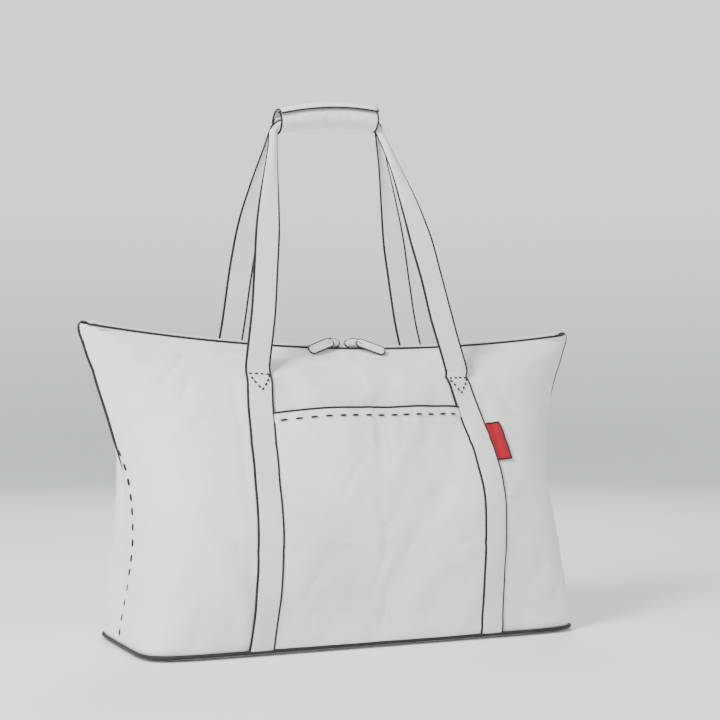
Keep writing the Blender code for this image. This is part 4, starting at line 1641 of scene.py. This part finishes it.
    def front_rows(self, out: float = 0.0) -> list[Row]:
        """Rows of the pouch's front: flat at its sewn edges, filled a little in the middle.

        Args:
            out: a further distance outwards.

        Returns:
            Rows of points.
        """
        rows = []
        half = self.width / 2
        for down in np.linspace(0.004, self.height, 60):
            row = []
            for share in np.linspace(-1, 1, 61):
                height = self.front_height(float(share), float(down)) + out
                row.append(self.body @ Vector((-float(share) * half, -float(down), height)))
            rows.append(row[::-1])
        return rows

    def panels(self) -> None:
        """Makes the pouch's back and front with their piping and side stitches."""
        half = self.width / 2
        back = []
        for down in np.linspace(0.0055, self.height, 40):
            row = []
            for share in np.linspace(-1, 1, 41):
                wave = noise.noise(Vector((share * 3, float(down) * 16, 9.0))) * 0.0006
                row.append(self.body @ Vector((float(share) * half, -float(down), 0.0002 + wave)))
            back.append(row)
        rear = sheet_piece("pouch_back_cloth", back, POCKET_CLOTH, self.thick, "pouch", "pouch_back")
        rows = self.front_rows()
        front = sheet_piece("pouch_front_cloth", rows, POCKET_CLOTH, self.thick, "pouch", "pouch_front")
        corner = 0.005
        left = [(-half, 0.0), (-half, -self.height + corner), (-half + corner, -self.height)]
        mouth = [(half - 0.002, 0.0012), (-half + 0.002, 0.0012)]
        edge = [(x, y, 0.0016) for x, y in (*left, *((-x, y) for x, y in left[::-1]), *mouth)]
        rim = even_path(self.path(edge, self.body), 0.004, True)
        cord("pouch_piping", rim, 0.0018, PIPING, "pouch", True)
        lines = []
        for side in (-1, 1):
            x = side * (half - 0.0065)
            drops = np.linspace(0.012, self.height - 0.006, 60)
            heights = [self.front_height(-x / half, float(d)) + 0.0003 for d in drops]
            lines.append([self.body @ Vector((x, -d, h)) for d, h in zip(drops, heights)])
        stitch_rows("pouch_side_stitches", lines, StitchStyle(0.0080, 0.0160, 0.0010), "pouch")

    def flap_edge(self) -> list[tuple[float, float]]:
        """Half outline of the flap: distance from the middle and drop, from the fold to the foot."""
        half = self.width / 2
        return [(half, 0.0), (half - 0.023, -0.046), (half - 0.0265, -0.0502), (half - 0.032, -self.flap)]

    def flap_piece(self) -> None:
        """Makes the flap over the pouch's mouth, its binding and its stitches."""
        front = self.depth + 0.0030
        drops = np.array([-y for x, y in self.flap_edge()])
        widths = np.array([x for x, y in self.flap_edge()])
        rows = []
        for y, z in ((0.0020, 0.0012), (0.0032, 0.0050), (0.0030, 0.0095), (0.0010, front - 0.0004)):
            rows.append([self.body @ Vector((x, y, z)) for x in np.linspace(-1, 1, 41) * self.width / 2])
        for down in np.linspace(0.002, self.flap, 26):
            half = float(np.interp(down, drops, widths))
            row = []
            for share in np.linspace(-1, 1, 41):
                sag = noise.noise(Vector((share * 3, down * 30, 2.0))) * 0.0007
                row.append(self.body @ Vector((float(share) * half, -float(down), front + sag)))
            rows.append(row)
        item = sheet_piece("pouch_flap_cloth", rows, POCKET_CLOTH, 0.0010, "pouch_flap", "pouch_flap")
        outline = self.flap_edge()
        ring = outline + [(-x, y) for x, y in outline[::-1]]
        rim = [self.body @ Vector((x, y, front + 0.0004)) for x, y in ring]
        cord("flap_binding", even_path(rim, 0.003, True), 0.0014, PIPING, "pouch_flap", True)
        inner = [(x - 0.0090, y) for x, y in ((self.width / 2, -0.004), (self.width / 2 - 0.021, -0.0440))]
        inner += [(-x, y) for x, y in inner[::-1]]
        line = [self.body @ Vector((x, y, front + 0.0008)) for x, y in inner]
        stitch_rows("flap_stitches", [line], StitchStyle(0.0080, 0.0160, 0.0010), "pouch_flap")

    def tag(self) -> None:
        """Makes the plain red tag in the pouch's side seam."""
        rows = []
        for down in np.linspace(self.tag_top, self.tag_foot, 12):
            row = []
            for x in np.linspace(0.0, self.tag_reach, 7):
                curl = 0.0008 * math.sin(x / self.tag_reach * math.pi)
                row.append(self.body @ Vector((-self.width / 2 - x, -float(down), 0.0006 + curl)))
            rows.append(row)
        sheet_piece("red_pouch_tag", rows, RED_TAG, 0.0009, "pouch", "pouch_tag", offset=0.0)
        rim = [*rows[0], *[row[-1] for row in rows[1:]], *rows[-1][::-1][1:]]
        cord("pouch_tag_edge", even_path(rim, 0.002), 0.0010, PIPING, "pouch", False, 8)


# ---------------------------------------------------------------- stage


@dataclass
class Studio:
    """Pale floor, soft lights and the camera."""

    lens: float = 71.0
    spot: tuple[float, float, float] = (-0.704, -1.591, 0.280)
    yaw: float = math.radians(24.64)
    pitch: float = math.radians(1.73)
    floor_radius: float = 3.4
    cove: float = 1.6

    def build(self) -> None:
        """Makes the floor, the lights and the camera."""
        self.floor()
        self.lights()
        self.camera()

    def floor(self) -> None:
        """Makes a round pale floor and a pale wall that curves up all round it, which casts no shadow and
        glows more towards the top as painted light.
        """
        made = new_material("studio_paper")
        shader = made.node_tree.nodes["Principled BSDF"]
        shader.inputs["Base Color"].default_value = (0.88, 0.88, 0.88, 1)
        shader.inputs["Roughness"].default_value = 0.95
        shader.inputs["Specular IOR Level"].default_value = 0.1
        # Painted light: the wall's emission grows with height, standing in for the lamps' light that falls
        # off up the wall.
        wall = made.copy()
        wall.name = "studio_wall_paper_painted_glow"
        glow = wall.node_tree.nodes["Principled BSDF"]
        glow.inputs["Emission Color"].default_value = (1, 1, 1, 1)
        wire = Wiring(wall.node_tree)
        place = wire.add("ShaderNodeTexCoord").outputs["Object"]
        height = wire.add("ShaderNodeSeparateXYZ", {0: place}).outputs["Z"]
        reads = {"Value": height, "From Min": 0.0, "From Max": 1.4, "To Min": 0.0, "To Max": 0.50}
        ramp = wire.add("ShaderNodeMapRange", reads, interpolation_type="SMOOTHSTEP")
        wall.node_tree.links.new(ramp.outputs[0], glow.inputs["Emission Strength"])
        flat = [(r, 0.0) for r in (0.001, 0.5, 1.5, self.floor_radius)]
        angles = np.linspace(0, math.pi / 2, 20)
        bend = [(self.floor_radius + self.cove * math.sin(a), self.cove * (1 - math.cos(a))) for a in angles]
        bend.append((self.floor_radius + self.cove, 6.0))
        for name, profile in (("studio_floor", flat), ("studio_wall", bend)):
            rows = []
            for radius, z in profile:
                turns = np.linspace(2 * math.pi, 0, 97)
                rows.append([Vector((radius * math.cos(a), radius * math.sin(a), z - 0.0002)) for a in turns])
            item = bpy.data.objects.new(name, sheet_mesh(name, rows))
            bpy.context.scene.collection.objects.link(item)
            item.data.shade_smooth()
            item.data.materials.append(wall if name == "studio_wall" else made)
            if name == "studio_wall":
                item.visible_shadow = False
                item.visible_diffuse = False

    def lights(self) -> None:
        """Makes a large soft key light, a fill and a rim light."""
        world = bpy.data.worlds.new("studio")
        bpy.context.scene.world = world
        world.use_nodes = True
        world.node_tree.nodes["Background"].inputs[0].default_value = (0.95, 0.97, 1.0, 1)
        world.node_tree.nodes["Background"].inputs[1].default_value = 0.66
        for name, place, power, size in (
            ("key", (-2.1, -1.1, 2.0), 140.0, 0.8),
            ("fill", (1.9, -2.0, 1.2), 14.0, 1.8),
            ("rim", (0.9, 2.0, 2.2), 46.0, 1.2),
        ):
            lamp = bpy.data.lights.new(name, "AREA")
            lamp.energy = power
            lamp.size = size
            item = bpy.data.objects.new(name, lamp)
            bpy.context.scene.collection.objects.link(item)
            item.location = place
            aim = Vector((0, 0, 0.25)) - Vector(place)
            item.rotation_euler = aim.to_track_quat("-Z", "Y").to_euler()

    def camera(self) -> None:
        """Places the camera low in front of the bag, to its left."""
        data = bpy.data.cameras.new("camera")
        data.lens = self.lens
        item = bpy.data.objects.new("camera", data)
        bpy.context.scene.collection.objects.link(item)
        item.location = self.spot
        level = math.cos(self.pitch)
        look = Vector((math.sin(self.yaw) * level, math.cos(self.yaw) * level, math.sin(self.pitch)))
        item.rotation_euler = look.to_track_quat("-Z", "Y").to_euler()
        bpy.context.scene.camera = item


def main() -> None:
    """Builds the bag from its shell to the pouch behind it, then the studio."""
    logging.basicConfig(level=logging.INFO)
    Studio().build()
    for part in (Shell(), Pocket(), Handles(), Grip(), Zip(), Tags(), Pouch()):
        part.build()
        LOG.info("built %s", type(part).__name__)


if __name__ == "__main__":
    main()
